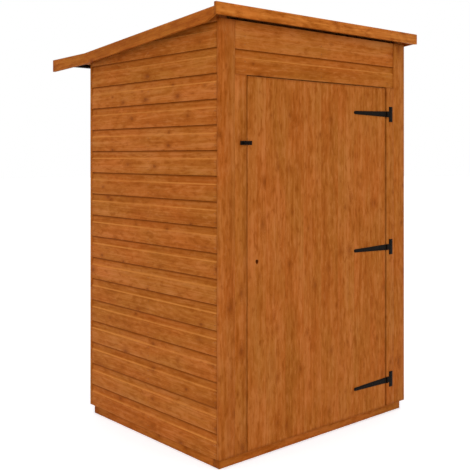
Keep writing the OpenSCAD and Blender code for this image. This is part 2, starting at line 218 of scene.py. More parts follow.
class Recipe:
    """A material or world being mixed, with one method that adds its nodes."""

    def __init__(self, owner: bpy.types.Material | bpy.types.World) -> None:
        """Empties the owner's nodes, to mix it anew.

        Args:
            owner: the material or world.
        """
        owner.use_nodes = True
        self.owner, self.tree = owner, owner.node_tree
        self.tree.nodes.clear()

    @classmethod
    def named(cls, name: str) -> Recipe:
        """Starts a material."""
        return cls(bpy.data.materials.new(name))

    def add(
        self,
        kind: str,
        settings: dict | None = None,
        inputs: dict | None = None,
        output: int = 0,
    ) -> Signal | None:
        """Adds one node.

        Args:
            kind: the node's type.
            settings: its own properties, or "stops" for a colour ramp's.
            inputs: values or signals by socket name or number.
            output: which of its outputs to give.

        Returns:
            That output, or nothing for a node without any.
        """
        node = self.tree.nodes.new(kind)
        for key, value in (settings or {}).items():
            if key == "stops":
                ramp = node.color_ramp.elements
                while len(ramp) < len(value):
                    ramp.new(1.0)
                for stop, (place, colour) in zip(ramp, value):
                    stop.position, stop.color = place, (*colour, 1.0)
            else:
                setattr(node, key, value)
        for key, value in (inputs or {}).items():
            if isinstance(value, Signal):
                self.tree.links.new(value.socket, node.inputs[key])
            else:
                node.inputs[key].default_value = value
        return Signal(self, node.outputs[output]) if node.outputs else None

    def attribute(self, name: str, output: int) -> Signal:
        """What the mesh carries under a name: 0 its colour, 1 its vector."""
        return self.add("ShaderNodeAttribute", {"attribute_name": name}, None, output)

    def place(self) -> Signal:
        """The point's place on the object."""
        return self.add("ShaderNodeTexCoord", output=3)

    def split(self, vector: Signal) -> tuple[Signal, Signal, Signal]:
        """A vector's or colour's three numbers."""
        first = self.add("ShaderNodeSeparateXYZ", None, {0: vector})
        return first, first.other(1), first.other(2)

    def vector(self, operation: str, *values: Signal | Colour) -> Signal:
        """Vector Math."""
        return self.add(
            "ShaderNodeVectorMath", {"operation": operation}, dict(enumerate(values))
        )

    def length(self, vector: Signal) -> Signal:
        """How long a vector is."""
        return self.vector("LENGTH", vector).other(1)

    def noise(self, place: Signal, cloud: Cloud, output: int = 0) -> Signal:
        """Adds cloudy noise.

        Args:
            place: where it is read.
            cloud: its kind.
            output: 0 for a value about 0.5, 1 for three of them.

        Returns:
            The noise.
        """
        return self.add(
            "ShaderNodeTexNoise",
            None,
            {
                "Vector": self.vector("MULTIPLY", place, cloud.stretch),
                "Scale": 1.0,
                "Detail": cloud.detail,
                "Roughness": cloud.rough,
            },
            output,
        )

    def bent(self, place: Signal, cloud: Cloud, reach: Triple) -> Signal:
        """Shifts a place by noise.

        Args:
            place: the place.
            cloud: the noise's kind.
            reach: how far it shifts each way, from end to end of the noise.

        Returns:
            The shifted place.
        """
        shift = self.noise(place, cloud, 1)
        shift = self.vector("SUBTRACT", shift, (0.5, 0.5, 0.5))
        return self.vector("ADD", place, self.vector("MULTIPLY", shift, reach))

    def cells(self, place: Signal, scale: float, loose: float, output: int) -> Signal:
        """Adds cells that fill space.

        Args:
            place: where they are read.
            scale: how many there are to a metre.
            loose: how irregular they are, from 0 to 1.
            output: 0 for the distance to a cell's centre, 1 for its colour.

        Returns:
            The output; the centre itself is the node's output 2.
        """
        return self.add(
            "ShaderNodeTexVoronoi",
            {"feature": "F1"},
            {"Vector": place, "Scale": scale, "Randomness": loose},
            output,
        )

    def mix(
        self, share: Signal | float, first: Signal | Colour, second: Signal | Colour
    ) -> Signal:
        """Blends two colours.

        Args:
            share: the second one's part.
            first: the first colour.
            second: the second colour.

        Returns:
            The blend.
        """
        ends = [c if isinstance(c, Signal) else (*c, 1.0) for c in (first, second)]
        return self.add(
            "ShaderNodeMix",
            {"data_type": "RGBA"},
            {0: share, 6: ends[0], 7: ends[1]},
            2,
        )

    def ramp(self, value: Signal, stops: Sequence[tuple[float, Colour]]) -> Signal:
        """A colour picked by a value from stops."""
        return self.add("ShaderNodeValToRGB", {"stops": stops}, {0: value})

    def bump(self, height: Signal, depth: float, strength: float = 1.0) -> Signal:
        """A normal from a height, whose full range is depth metres."""
        return self.add(
            "ShaderNodeBump",
            None,
            {"Strength": strength, "Distance": depth, "Height": height},
        )

    def finish(self, **inputs: Signal | float | Colour) -> bpy.types.Material:
        """Closes the material.

        Args:
            inputs: the shader's sockets, with _ for a space.

        Returns:
            The material.
        """
        named = {key.replace("_", " "): value for key, value in inputs.items()}
        shader = self.add("ShaderNodeBsdfPrincipled", None, named)
        self.add("ShaderNodeOutputMaterial", None, {"Surface": shader})
        return self.owner


@dataclass(frozen=True)
class Timber:
    """Softwood with annual rings, streaks and knots, dipped in a golden brown stain.

    Distances on a shiplap board, in the fields from rub_and_highlight_in to
    pool_and_shade, are measured up from the scoop's edge: where each one starts and
    where it is full. These fields place painted light as well as stain.
    """

    name: str
    light: Colour = (0.490, 0.172, 0.043)
    warm: Colour = (0.376, 0.109, 0.0140)
    dark: Colour = (0.228, 0.048, 0.0010)
    knot: Colour = (0.150, 0.028, 0.0022)
    # Stain pooled under a shiplap lip, darkened further as painted shade.
    pooled_and_shaded: Colour = (0.180, 0.038, 0.0006)
    # Thinner stain on a shiplap scoop's edge, lightened further as a painted highlight.
    rubbed_and_highlit: Colour = (0.560, 0.205, 0.040)
    variety: float = 1.0
    ring_gap: float = 0.0046
    ring_depth: float = 0.26
    streaks: float = 0.40
    blotches: float = 0.47
    knots: float = 0.50
    hearts: float = 0.66
    soaked: float = 0.38
    sawn: float = 0.0
    roughness: float = 0.55
    scoop_at: float = 0.0735
    # Where the edge's painted highlight, the recess's painted shade and the pooled
    # stain with painted shade under the lip start and are full.
    rub_and_highlight_in: tuple[float, float] = (-0.0035, 0.0)
    rub_and_highlight_out: tuple[float, float] = (0.0004, 0.0060)
    hollow_shade: tuple[float, float] = (0.004, 0.012)
    pool_and_shade: tuple[float, float] = (0.026, 0.036)
    streak_count: float = 50.0
    soak_depth: float = 0.013
    soak_ragged: float = 0.012
    relief: float = 0.00042
    saw_relief: float = 0.0004
    knot_cells: Triple = (4.2, 12.0, 2.4)
    knot_reach: Triple = (0.62, 1.0, 0.035)
    knot_least: float = 0.0052
    knot_spread: float = 0.0085
    curl_reach: Triple = (0.060, 0.024, 0.024)
    heart_reach: Triple = (0.0, 0.060, 0.045)
    ring_swerve: float = 0.016
    ring_waver: float = 0.0028

    @cache
    def material(self) -> bpy.types.Material:
        """Mixes the finish.

        Returns:
            Its material, which is made once.
        """
        mix = Recipe.named(self.name)
        grain = mix.attribute("grain", 1)
        tone = mix.attribute("tone", 0)
        depth, hue, lapped = mix.split(tone)
        end = tone.other(3)
        near, far, across = mix.split(mix.attribute("ends", 1))

        core, halo = self._knots(mix, grain)
        late = self._rings(mix, grain, halo)
        streak = mix.noise(grain, self._drawn_out(1.3, 1.0, 0.8, 0.6))
        fibre = mix.noise(grain, FIBRE)
        shade = (
            0.5
            + (streak - 0.5) * (self.streaks * 1.9)
            + (mix.noise(grain, STAIN_BLOTCH) - 0.5) * (self.blotches * 1.6)
            + (depth - 0.5) * (0.16 * self.variety)
            + (fibre - 0.5) * 0.26
        )
        colour = self._stain(mix, grain, shade, hue)
        colour = mix.mix(late * self.ring_depth, colour, self.dark)
        colour = self._figure(mix, grain, colour, streak, fibre)
        colour = mix.mix(halo * 0.50, colour, self.dark)
        colour = mix.mix(core * self.hearts, colour, self.knot)
        colour = self._moulding(mix, colour, across - self.scoop_at, lapped, streak)
        # End grain and board ends take more stain; the walls of small holes take the
        # darkest, as painted shade inside them.
        soak = near.least(far) + (fibre - 0.5) * self.soak_ragged
        steeped = 1 - soak.rise(0.0, self.soak_depth)
        colour = mix.mix((end * 0.5).most(steeped * self.soaked), colour, self.knot)

        height = fibre * 0.55 - late * 0.30 - core * 0.35 + streak * 0.25
        if self.sawn:
            saw = mix.noise(grain, SAW_MARKS)
            height = height + saw * (self.sawn * 1.6)
            colour = mix.mix((saw - 0.42) * (self.sawn * 0.55), colour, self.dark)
        rough = self.roughness + (fibre - 0.5) * 0.20 + late * 0.05 - core * 0.12
        return mix.finish(
            Base_Color=colour,
            Roughness=rough,
            Specular_IOR_Level=0.03,
            Normal=mix.bump(height, self.relief + self.saw_relief * self.sawn, 0.85),
        )

    def _drawn_out(
        self, along: float, across: float, out: float, rough: float
    ) -> Cloud:
        """Streaky noise, with across and out as shares of the streak count."""
        stretch = (along, self.streak_count * across, self.streak_count * out)
        return Cloud(stretch, 3.0, rough)

    def _stain(self, mix: Recipe, grain: Signal, shade: Signal, hue: Signal) -> Signal:
        """The stain's own colour, which leans a little to red or yellow.

        Args:
            mix: the material's recipe.
            grain: the place in the log.
            shade: 0 for the lightest stain, 1 for the darkest.
            hue: the board's own lean.

        Returns:
            The colour.
        """
        stops = [(0.10, self.light), (0.50, self.warm), (0.94, self.dark)]
        drift = mix.noise(grain, STAIN_DRIFT)
        lean = (drift - 0.5) * 1.9 + (hue - 0.5) * (0.35 * self.variety) + 0.5
        tint = mix.mix(lean.rise(0.0, 1.0), (1.05, 0.94, 0.98), (0.94, 1.03, 1.02))
        return mix.vector("MULTIPLY", mix.ramp(shade, stops), tint)

    def _figure(
        self, mix: Recipe, grain: Signal, colour: Signal, streak: Signal, fibre: Signal
    ) -> Signal:
        """Bright flames, and the bright and dark sides of curled grain.

        Args:
            mix: the material's recipe.
            grain: the place in the log.
            colour: the board's colour.
            streak: the streaks, which the curls follow a little.
            fibre: the fibres, which roughen the curls.

        Returns:
            The colour with them.
        """
        flame = mix.noise(grain, self._drawn_out(5.0, 1.9, 1.4, 0.66))
        flame = flame.rise(0.555, 0.69)
        colour = mix.mix(flame * (self.streaks * 0.62), colour, self.light)
        curl = mix.noise(mix.bent(grain, GRAIN_TURN, self.curl_reach), GRAIN_CURL)
        curl = curl + (fibre - 0.5) * 0.12 + (streak - 0.5) * 0.16
        bright = 1 - curl.rise(0.32, 0.49)
        colour = mix.mix(bright * (self.blotches * 0.80), colour, self.light)
        patch = curl.rise(0.51, 0.70)
        return mix.mix(patch * (self.blotches * 1.25), colour, self.dark)

    def _moulding(
        self, mix: Recipe, colour: Signal, past: Signal, lapped: Signal, streak: Signal
    ) -> Signal:
        """Thin stain and a painted highlight on the scoop's edge, painted shade in the
        recess, and stain pooled under the lip with painted shade.

        Args:
            mix: the material's recipe.
            colour: the board's colour.
            past: the distance up from the scoop's edge.
            lapped: 1 on shiplap, 0 on a plain board.
            streak: the streaks, which break the edge's line.

        Returns:
            The colour with all three.
        """
        # Painted highlight, with thinner stain, along the scoop's edge.
        worn_and_highlit = past.rise(*self.rub_and_highlight_in) * (1 - past.rise(*self.rub_and_highlight_out)) * lapped
        broken = streak.rise(0.25, 0.60) * 0.62 + 0.18
        colour = mix.mix(worn_and_highlit * broken, colour, self.rubbed_and_highlit)
        # Painted shade across the scoop's recess.
        hollow_shade = past.rise(*self.hollow_shade) * lapped
        colour = mix.mix(hollow_shade * 0.16, colour, self.dark)
        # Stain pooled under the lip, darkened further as painted shade.
        pool_and_shade = past.rise(*self.pool_and_shade) * lapped
        return mix.mix(pool_and_shade * 0.90, colour, self.pooled_and_shaded)

    def _knots(self, mix: Recipe, grain: Signal) -> tuple[Signal, Signal]:
        """Knots that pass through a board.

        Args:
            mix: the material's recipe.
            grain: the place in the log.

        Returns:
            The dark heart of each knot, and the swirl round it.
        """
        spot = mix.vector("MULTIPLY", grain, self.knot_cells)
        pick = mix.cells(spot, 1.0, 0.9, 1)
        chance, size, _ = mix.split(pick)
        squeeze = tuple(k / c for k, c in zip(self.knot_reach, self.knot_cells))
        away = mix.vector("SUBTRACT", spot, pick.other(2))
        away = mix.vector("MULTIPLY", away, squeeze)
        wobble = mix.noise(grain, KNOT_WOBBLE)
        there = 1 - chance.rise(self.knots - 0.01, self.knots + 0.01)
        radius = size * size * self.knot_spread + self.knot_least
        reach = mix.length(away) / radius + (wobble - 0.5) * 1.1
        return (
            there * (1 - reach.rise(0.05, 1.40)),
            there * (1 - reach.rise(0.5, 3.2)),
        )

    def _rings(self, mix: Recipe, grain: Signal, halo: Signal) -> Signal:
        """The dark, late part of each year's growth.

        Args:
            mix: the material's recipe.
            grain: the place in the log, whose heart is its X axis.
            halo: the swirl round the knots, which the rings pass round.

        Returns:
            1 in late wood, 0 in early wood.
        """
        heart = mix.bent(grain, HEART_DRIFT, self.heart_reach)
        span = mix.length(mix.vector("MULTIPLY", heart, (0.0, 1.0, 1.0)))
        waver = mix.noise(grain, RING_WAVER)
        out = span + halo * self.ring_swerve + (waver - 0.5) * self.ring_waver
        year = out / self.ring_gap
        band = year.fraction()
        return band.rise(0.28, 0.84) * (1 - band.rise(0.90, 1.0))


@dataclass(frozen=True)
class BlackIron:
    """Black painted steel: satin, lightly pitted, scuffed a little at random."""

    name: str = "black_iron"
    paint: Colour = (0.0046, 0.0026, 0.0014)
    # The colour where the paint is scuffed through.
    rubbed_and_highlit: Colour = (0.017, 0.012, 0.008)
    relief: float = 0.00022

    @cache
    def material(self) -> bpy.types.Material:
        """Mixes the finish.

        Returns:
            Its material, which is made once.
        """
        mix = Recipe.named(self.name)
        place = mix.place()
        cloud = mix.noise(place, PAINT_WEAR)
        pits = mix.noise(place, PAINT_PITS)
        # Paint scuffed through at random places.
        worn_and_highlit = cloud.rise(0.56, 0.74)
        return mix.finish(
            Base_Color=mix.mix(worn_and_highlit * 0.45, self.paint, self.rubbed_and_highlit),
            Roughness=0.44 + (cloud - 0.5) * 0.22 + (pits - 0.5) * 0.10,
            Metallic=worn_and_highlit * 0.10,
            Specular_IOR_Level=0.04,
            Normal=mix.bump(pits * 0.5 + cloud * 0.5, self.relief, 0.7),
        )


@dataclass(frozen=True)
class NailSteel:
    """Steel nail heads: bright zinc that has gone dull, or dipped with the boards."""

    name: str = "dull_zinc"
    bare: Colour = (0.22, 0.21, 0.20)
    tarnish: Colour = (0.10, 0.075, 0.055)
    metal: float = 0.7
    relief: float = 0.0001

    @cache
    def material(self) -> bpy.types.Material:
        """Mixes the finish.

        Returns:
            Its material, which is made once.
        """
        mix = Recipe.named(self.name)
        place = mix.place()
        cloud = mix.noise(place, ZINC_TARNISH)
        spangle = mix.noise(place, ZINC_SPANGLE)
        return mix.finish(
            Base_Color=mix.mix(cloud.rise(0.38, 0.62), self.bare, self.tarnish),
            Roughness=0.46 + (spangle - 0.5) * 0.3,
            Metallic=self.metal,
            Specular_IOR_Level=0.2,
            Normal=mix.bump(spangle, self.relief, 0.6),
        )


@dataclass(frozen=True)
class MineralFelt:
    """Charcoal roofing felt: bitumen under crushed slate granules."""

    name: str = "mineral_felt"
    pitch: Colour = (0.013, 0.013, 0.014)
    slate: Colour = (0.052, 0.054, 0.059)
    pale: Colour = (0.165, 0.168, 0.178)
    relief: float = 0.0007

    @cache
    def material(self) -> bpy.types.Material:
        """Mixes the finish.

        Returns:
            Its material, which is made once.
        """
        mix = Recipe.named(self.name)
        place = mix.place()
        cell = mix.cells(place, GRANULES, 1.0, 0)
        chip, glint, _ = mix.split(cell.other(1))
        scuff = mix.noise(place, FELT_SCUFF)
        bald = mix.noise(place, FELT_BALD).rise(0.56, 0.72)
        grit = mix.mix(chip.rise(0.25, 0.9), self.slate, self.pale)
        grit = mix.mix(scuff.rise(0.35, 0.7) * 0.45, grit, self.slate)
        covered = (1 - cell.rise(0.30, 0.62)) * (1 - bald * 0.75)
        return mix.finish(
            Base_Color=mix.mix(covered, self.pitch, grit),
            Roughness=0.86 - glint.rise(0.86, 0.95) * 0.40,
            Normal=mix.bump(covered * 0.8 + scuff * 0.4, self.relief, 0.9),
        )


WALL = Timber("wall_timber", blotches=0.40)
DOOR = Timber(
    "door_timber",
    light=(0.452, 0.155, 0.038),
    warm=(0.346, 0.099, 0.0128),
    dark=(0.214, 0.044, 0.0010),
    variety=0.5,
    streaks=0.38,
    blotches=0.46,
    knots=0.34,
    hearts=0.36,
    streak_count=27.0,
)
TRIM = Timber(
    "trim_timber",
    light=(0.446, 0.153, 0.038),
    warm=(0.340, 0.097, 0.0127),
    dark=(0.208, 0.043, 0.0010),
    streaks=0.34,
    blotches=0.44,
    hearts=0.52,
    streak_count=36.0,
)
# A lighter copy of the fascia stain for the front fascia: painted light, as the front
# catches more light than the sides.
FASCIA = Timber(
    "fascia_timber",
    light=(0.565, 0.192, 0.034),
    warm=(0.448, 0.124, 0.0160),
    streaks=0.50,
    blotches=0.46,
    soaked=0.10,
)
SIDE_FASCIA = Timber(
    "side_fascia_timber",
    light=(0.455, 0.146, 0.021),
    warm=(0.345, 0.091, 0.0100),
    dark=(0.216, 0.045, 0.0038),
    streaks=0.46,
    blotches=0.42,
    soaked=0.10,
)
# Near-black timber for the batten under the eaves: painted shade where the eaves'
# underside lies in shadow.
PAINTED_SHADE_TIMBER = Timber(
    "tarred_timber",
    light=(0.022, 0.011, 0.006),
    warm=(0.014, 0.007, 0.004),
    dark=(0.008, 0.004, 0.002),
    knot=(0.005, 0.003, 0.002),
    sawn=0.4,
    roughness=0.6,
)
FRAME = Timber(
    "frame_timber",
    light=(0.50, 0.190, 0.055),
    warm=(0.40, 0.132, 0.032),
    dark=(0.26, 0.072, 0.014),
    ring_gap=0.0038,
    sawn=0.55,
    roughness=0.72,
)
BASE = Timber(
    "base_timber", light=(0.44, 0.135, 0.028), sawn=0.35, roughness=0.66, knots=0.4
)
FLOOR = Timber(
    "floor_timber",
    light=(0.53, 0.215, 0.070),
    warm=(0.42, 0.150, 0.040),
    dark=(0.27, 0.080, 0.018),
    roughness=0.62,
    sawn=0.12,
)
ROOF = Timber(
    "roof_timber",
    light=(0.51, 0.205, 0.065),
    warm=(0.41, 0.145, 0.038),
    dark=(0.26, 0.074, 0.016),
    roughness=0.68,
    sawn=0.3,
)
IRON = BlackIron()
ZINC = NailSteel()
DIPPED_NAIL = NailSteel(
    "dipped_nail",
    bare=(0.21, 0.075, 0.022),
    tarnish=(0.13, 0.040, 0.010),
    metal=0.15,
)
FELT = MineralFelt()
Finish = Timber | BlackIron | NailSteel | MineralFelt


# ---------------------------------------------------------------- the workshop


def smooth_by_angle(mesh: bpy.types.Mesh, degrees: float = 32.0) -> None:
    """Shades a mesh smooth, with its edges past an angle left sharp."""
    mesh.shade_smooth()
    mesh.set_sharp_from_angle(angle=math.radians(degrees))


def make_piece(
    name: str,
    mesh: bmesh.types.BMesh,
    finish: Finish,
    body: Body,
    nodes: Iterable[str] = (),
) -> bpy.types.Object:
    """Turns a mesh into a piece of the shed.

    Args:
        name: the piece's name.
        mesh: its shape, in place; it is used up.
        finish: what it is finished with.
        body: what it moves with.
        nodes: the frame's nodes that it stands for.

    Returns:
        The piece's object.
    """
    data = bpy.data.meshes.new(name)
    mesh.to_mesh(data)
    mesh.free()
    smooth_by_angle(data)
    data.materials.append(finish.material())
    piece = bpy.data.objects.new(name, data)
    bpy.context.scene.collection.objects.link(piece)
    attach(piece, body.value)
    if nodes:
        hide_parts(*nodes)
    log.info("%s: %d faces, on the %s", name, len(data.polygons), body.value)
    return piece


def node_mesh(node: str) -> bmesh.types.BMesh:
    """A frame node's shape as a sound mesh: merged, with its flat faces whole.

    Args:
        node: the frame node.

    Returns:
        A new mesh of its shape.
    """
    mesh = bmesh.new()
    mesh.from_mesh(bpy.data.objects[node].data)
    bmesh.ops.remove_doubles(mesh, verts=mesh.verts, dist=MERGE)
    bmesh.ops.dissolve_limit(
        mesh,
        angle_limit=FLAT,
        use_dissolve_boundaries=False,
        verts=mesh.verts,
        edges=mesh.edges,
        delimit=set(),
    )
    return mesh


def node_points(node: str) -> list[Vector]:
    """The points of a frame node's mesh."""
    return [v.co for v in bpy.data.objects[node].data.vertices]


def drawn_points(geometry: Iterable) -> list[bmesh.types.BMVert]:
    """The vertices among what an extrusion made."""
    return [g for g in geometry if isinstance(g, bmesh.types.BMVert)]


def pour(shape: bmesh.types.BMesh, into: bmesh.types.BMesh) -> None:
    """Adds a shape to a mesh, and uses the shape up.

    Args:
        shape: the shape.
        into: the mesh that gains it.
    """
    data = bpy.data.meshes.new("poured")
    shape.to_mesh(data)
    shape.free()
    into.from_mesh(data)
    bpy.data.meshes.remove(data)


def block(size: Triple, middle: Triple) -> bmesh.types.BMesh:
    """A square block, to be worked further.

    Args:
        size: its length each way.
        middle: where its centre is.

    Returns:
        Its mesh.
    """
    mesh = bmesh.new()
    bmesh.ops.create_cube(mesh, size=1.0)
    bmesh.ops.scale(mesh, vec=size, verts=mesh.verts)
    bmesh.ops.translate(mesh, vec=middle, verts=mesh.verts)
    return mesh


def islands(mesh: bmesh.types.BMesh) -> list[list[bmesh.types.BMVert]]:
    """Finds the mesh's separate solids.

    Args:
        mesh: the mesh, with its vertices numbered.

    Returns:
        Each solid's vertices, in the order of their lowest number.
    """
    left, found = set(mesh.verts), []
    while left:
        stack = [min(left, key=lambda v: v.index)]
        left.discard(stack[0])
        solid = []
        while stack:
            vert = stack.pop()
            solid.append(vert)
            for edge in vert.link_edges:
                mate = edge.other_vert(vert)
                if mate in left:
                    left.discard(mate)
                    stack.append(mate)
        found.append(solid)
    return found


def corners(points: Iterable[Vector]) -> Box:
    """The lowest and highest corner of the box round some points."""
    each_way = list(zip(*points))
    return Vector(list(map(min, each_way))), Vector(list(map(max, each_way)))


@cache
def solids(node: str) -> tuple[Box, ...]:
    """Measures the separate solids of a frame node.

    Args:
        node: the frame node.

    Returns:
        The box of each, in the order of their lowest corners.
    """
    mesh = node_mesh(node)
    mesh.verts.index_update()
    boxes = [corners([v.co for v in verts]) for verts in islands(mesh)]
    mesh.free()
    return tuple(sorted(boxes, key=lambda box: tuple(round(c, 4) for c in box[0])))


def bevel_edges(
    mesh: bmesh.types.BMesh,
    width: float,
    segments: int = 2,
    longer_than: float = 0.0,
    degrees: float = 25.0,
    chosen: Callable[[bmesh.types.BMEdge], bool] = lambda edge: True,
) -> None:
    """Takes the sharpness off a mesh's edges.

    Args:
        mesh: the shape.
        width: how much comes off each side.
        segments: facets round the edge.
        longer_than: shorter edges stay sharp.
        degrees: flatter edges stay as they are.
        chosen: picks among the edges.
    """
    edges = [
        e
        for e in mesh.edges
        if len(e.link_faces) == 2
        and e.calc_length() > longer_than
        and e.calc_face_angle(0.0) > math.radians(degrees)
        and chosen(e)
    ]
    bmesh.ops.bevel(
        mesh,
        geom=edges,
        offset=width,
        affect="EDGES",
        segments=segments,
        profile=0.5,
        material=-1,
        clamp_overlap=True,
    )


def saw_off(mesh: bmesh.types.BMesh, point: Vector, waste: Vector) -> None:
    """Cuts a solid by a plane and closes the cut.

    Args:
        mesh: the shape.
        point: a point on the plane.
        waste: points to the side that is thrown away.
    """
    bmesh.ops.bisect_plane(
        mesh,
        geom=[*mesh.verts, *mesh.edges, *mesh.faces],
        dist=ON_PLANE,
        plane_co=point,
        plane_no=waste,
        clear_outer=True,
        clear_inner=False,
    )
    rim = [e for e in mesh.edges if e.is_boundary]
    if rim:
        bmesh.ops.holes_fill(mesh, edges=rim, sides=0)


@dataclass(frozen=True)
class Lie:
    """How a length of timber lies: where it starts, how it runs and how it faces."""

    start: Vector
    along: Vector
    face: Vector

    def matrix(self) -> Matrix:
        """Takes the timber's own axes to the shed's.

        Returns:
            A matrix from along, across and out of the face to X, Y and Z.
        """
        across = self.face.cross(self.along)
        turn = Matrix((self.along, across, self.face)).transposed()
        return Matrix.Translation(self.start) @ turn.to_4x4()


class Lumber:
    """One piece made of timber: its boards, each with its own grain and tone.

    A log's heart is the X axis of its grain. heart_sway is how far from side to side of
    a board's middle it passes, and heart_near to heart_far how far in front or behind.
    end_cut, hole_wall and looks_out are parts of a face's normal that tell an end, the
    wall of a hole and a face that shows.
    """

    log_length = 60.0
    heart_sway = 0.08
    heart_near, heart_far = 0.030, 0.105
    end_cut = 0.8
    hole_wall = 0.2
    hole_face = 1.6e-4
    looks_out = -0.3
    # Marks a hole's wall for the darkest stain: end-grain stain and painted shade
    # inside the hole.
    hole_shade_mark = 2.0

    def __init__(self, name: str) -> None:
        """Starts the piece, with a random draw that hangs on its name.

        Args:
            name: the piece's name.
        """
        self.name = name
        self.lapped = False
        self.dice = random.Random(name)
        self.mesh = bmesh.new()
        self._layers(self.mesh)

    @staticmethod
    def _layers(mesh: bmesh.types.BMesh) -> tuple:
        """Gives a mesh the attributes that the timber finishes read."""
        return (
            mesh.verts.layers.float_vector.new("grain"),
            mesh.verts.layers.float_vector.new("ends"),
            mesh.loops.layers.float_color.new("tone"),
        )

    def add(self, board: bmesh.types.BMesh, lie: Lie) -> None:
        """Adds one finished board.

        Args:
            board: its shape, in place in the shed; it is used up.
            lie: the way that its grain runs and its face looks.
        """
        dice = self.dice
        grain, ends, colour = self._layers(board)
        home = lie.matrix().inverted()
        own = {v: home @ v.co for v in board.verts}
        low, high = corners(own.values())
        middle = (low + high) / 2
        heart = Vector(
            (
                dice.uniform(0.0, self.log_length),
                dice.uniform(-0.5, 0.5) * self.heart_sway,
                dice.choice((-1, 1)) * dice.uniform(self.heart_near, self.heart_far),
            )
        )
        tone = (dice.random(), dice.random())
        for vert, place in own.items():
            vert[grain] = place - middle + heart
            vert[ends] = (place.x - low.x, high.x - place.x, place.y - low.y)
        turn = home.to_3x3()
        for face in board.faces:
            way = turn @ face.normal
            end = float(abs(way.x) > self.end_cut)
            # Small faces across the board, such as a keyhole's bore, get painted shade.
            if abs(way.z) < self.hole_wall and face.calc_area() < self.hole_face:
                end = self.hole_shade_mark
            lapped = float(self.lapped and way.z > self.looks_out)
            for loop in face.loops:
                loop[colour] = (*tone, lapped, end)
        pour(board, self.mesh)

    def moulded(
        self,
        outline: Outline,
        length: float,
        lie: Lie,
        cuts: Iterable[tuple[Vector, Vector]] = (),
    ) -> None:
        """Adds a board of one moulding.

        Args:
            outline: its section, across and out, anticlockwise from its far end.
            length: how long it is before it is cut.
            lie: where it goes.
            cuts: planes to saw it off at, each a point and the side that is waste.
        """
        board = bmesh.new()
        section = board.faces.new(
            [board.verts.new((0.0, across, out)) for across, out in outline]
        )
        drawn = bmesh.ops.extrude_face_region(board, geom=[section])["geom"]
        bmesh.ops.translate(
            board, verts=drawn_points(drawn), vec=(length, 0.0, 0.0)
        )
        bmesh.ops.recalc_face_normals(board, faces=board.faces)
        board.transform(lie.matrix())
        for point, waste in cuts:
            saw_off(board, point, waste)
        if board.faces:
            self.add(board, lie)
        else:
            board.free()

    def sticks(
        self,
        node: str,
        along: Vector | None,
        face: Vector,
        arris: float = EASED,
        longer_than: float = TIGHT_JOINT,
    ) -> None:
        """Adds each solid of a frame node as one length of timber.

        Args:
            node: the frame node.
            along: the way that its grain runs, or None for its own longest edge.
            face: the way that its face looks.
            arris: how much its edges are eased.
            longer_than: shorter edges stay sharp, as at a tight joint.
        """
        whole = node_mesh(node)
        for index in range(len(islands(whole))):
            stick = whole.copy()
            stick.verts.index_update()
            keep = set(islands(stick)[index])
            bmesh.ops.delete(
                stick, geom=[v for v in stick.verts if v not in keep], context="VERTS"
            )
            low, _ = corners([v.co for v in stick.verts])
            longest = max(stick.edges, key=lambda e: round(e.calc_length(), 5))
            first, last = (v.co.copy() for v in longest.verts)
            run = along or (last - first).normalized()
            bevel_edges(stick, arris, longer_than=longer_than)
            self.add(stick, Lie(low, run, face))
        whole.free()

    def ripped(
        self,
        node: str,
        along: Vector,
        face: Vector,
        joints: Sequence[float],
        arris: float,
        rim: float = 0.0004,
        longer_than: float = 0.020,
    ) -> None:
        """Adds a slab of the frame as boards side by side.

        Args:
            node: the frame node.
            along: the way that the boards run.
            face: the way that they face.
            joints: where their edges are, across, from one side to the other.
            arris: how wide the edges are eased where two boards meet.
            rim: how wide the slab's own edges are eased.
            longer_than: shorter edges stay sharp.
        """
        across = face.cross(along)
        inner = joints[1:-1]

        def at_joint(edge: bmesh.types.BMEdge) -> bool:
            """Whether an edge lies where two boards meet."""
            places = [v.co.dot(across) for v in edge.verts]
            return any(max(abs(p - joint) for p in places) < MERGE for joint in inner)

        for low, high in zip(joints, joints[1:]):
            board = node_mesh(node)
            saw_off(board, across * low, -across)
            saw_off(board, across * high, across)
            corner, _ = corners([v.co for v in board.verts])
            bevel_edges(board, rim, 1, longer_than, chosen=lambda e: not at_joint(e))
            bevel_edges(board, arris, 1, longer_than, chosen=at_joint)
            self.add(board, Lie(corner, along, face))

    def piece(
        self, finish: Finish, slot: Slot, body: Body, nodes: Iterable[str]
    ) -> bpy.types.Object:
        """Makes the gathered boards into a piece."""
        return make_piece(self.name, self.mesh, finish, body, nodes)


def stick_piece(
    node: str,
    along: Vector | None,
    face: Vector,
    finish: Timber,
    slot: Slot,
    body: Body = Body.SHED,
    arris: float = EASED,
    longer_than: float = TIGHT_JOINT,
) -> bpy.types.Object:
    """Makes a frame node's solids into lengths of timber, as one piece.

    Args:
        node: the frame node, which the piece stands for.
        along: the way that the grain runs, or None for each solid's longest edge.
        face: the way that it faces.
        finish: what it is finished with.
        slot: the record's material slot; not used.
        body: what it moves with.
        arris: how much its edges are eased.
        longer_than: shorter edges stay sharp.

    Returns:
        The piece's object.
    """
    timber = Lumber(f"{node}_timber")
    timber.sticks(node, along, face, arris, longer_than)
    return timber.piece(finish, slot, body, (node,))


def evenly(low: float, high: float, pitch: float) -> list[float]:
    """Spaces places from one end to the other.

    Args:
        low: the first place.
        high: the last place.
        pitch: how far apart they are, as near as the length divides.

    Returns:
        The places, with both ends.
    """
    count = max(1, round((high - low) / pitch))
    return [low + (high - low) * k / count for k in range(count + 1)]


def leftwards(places: Sequence[float]) -> list[float]:
    """Places on X as distances to the left, from the lowest up."""
    return [-x for x in reversed(places)]


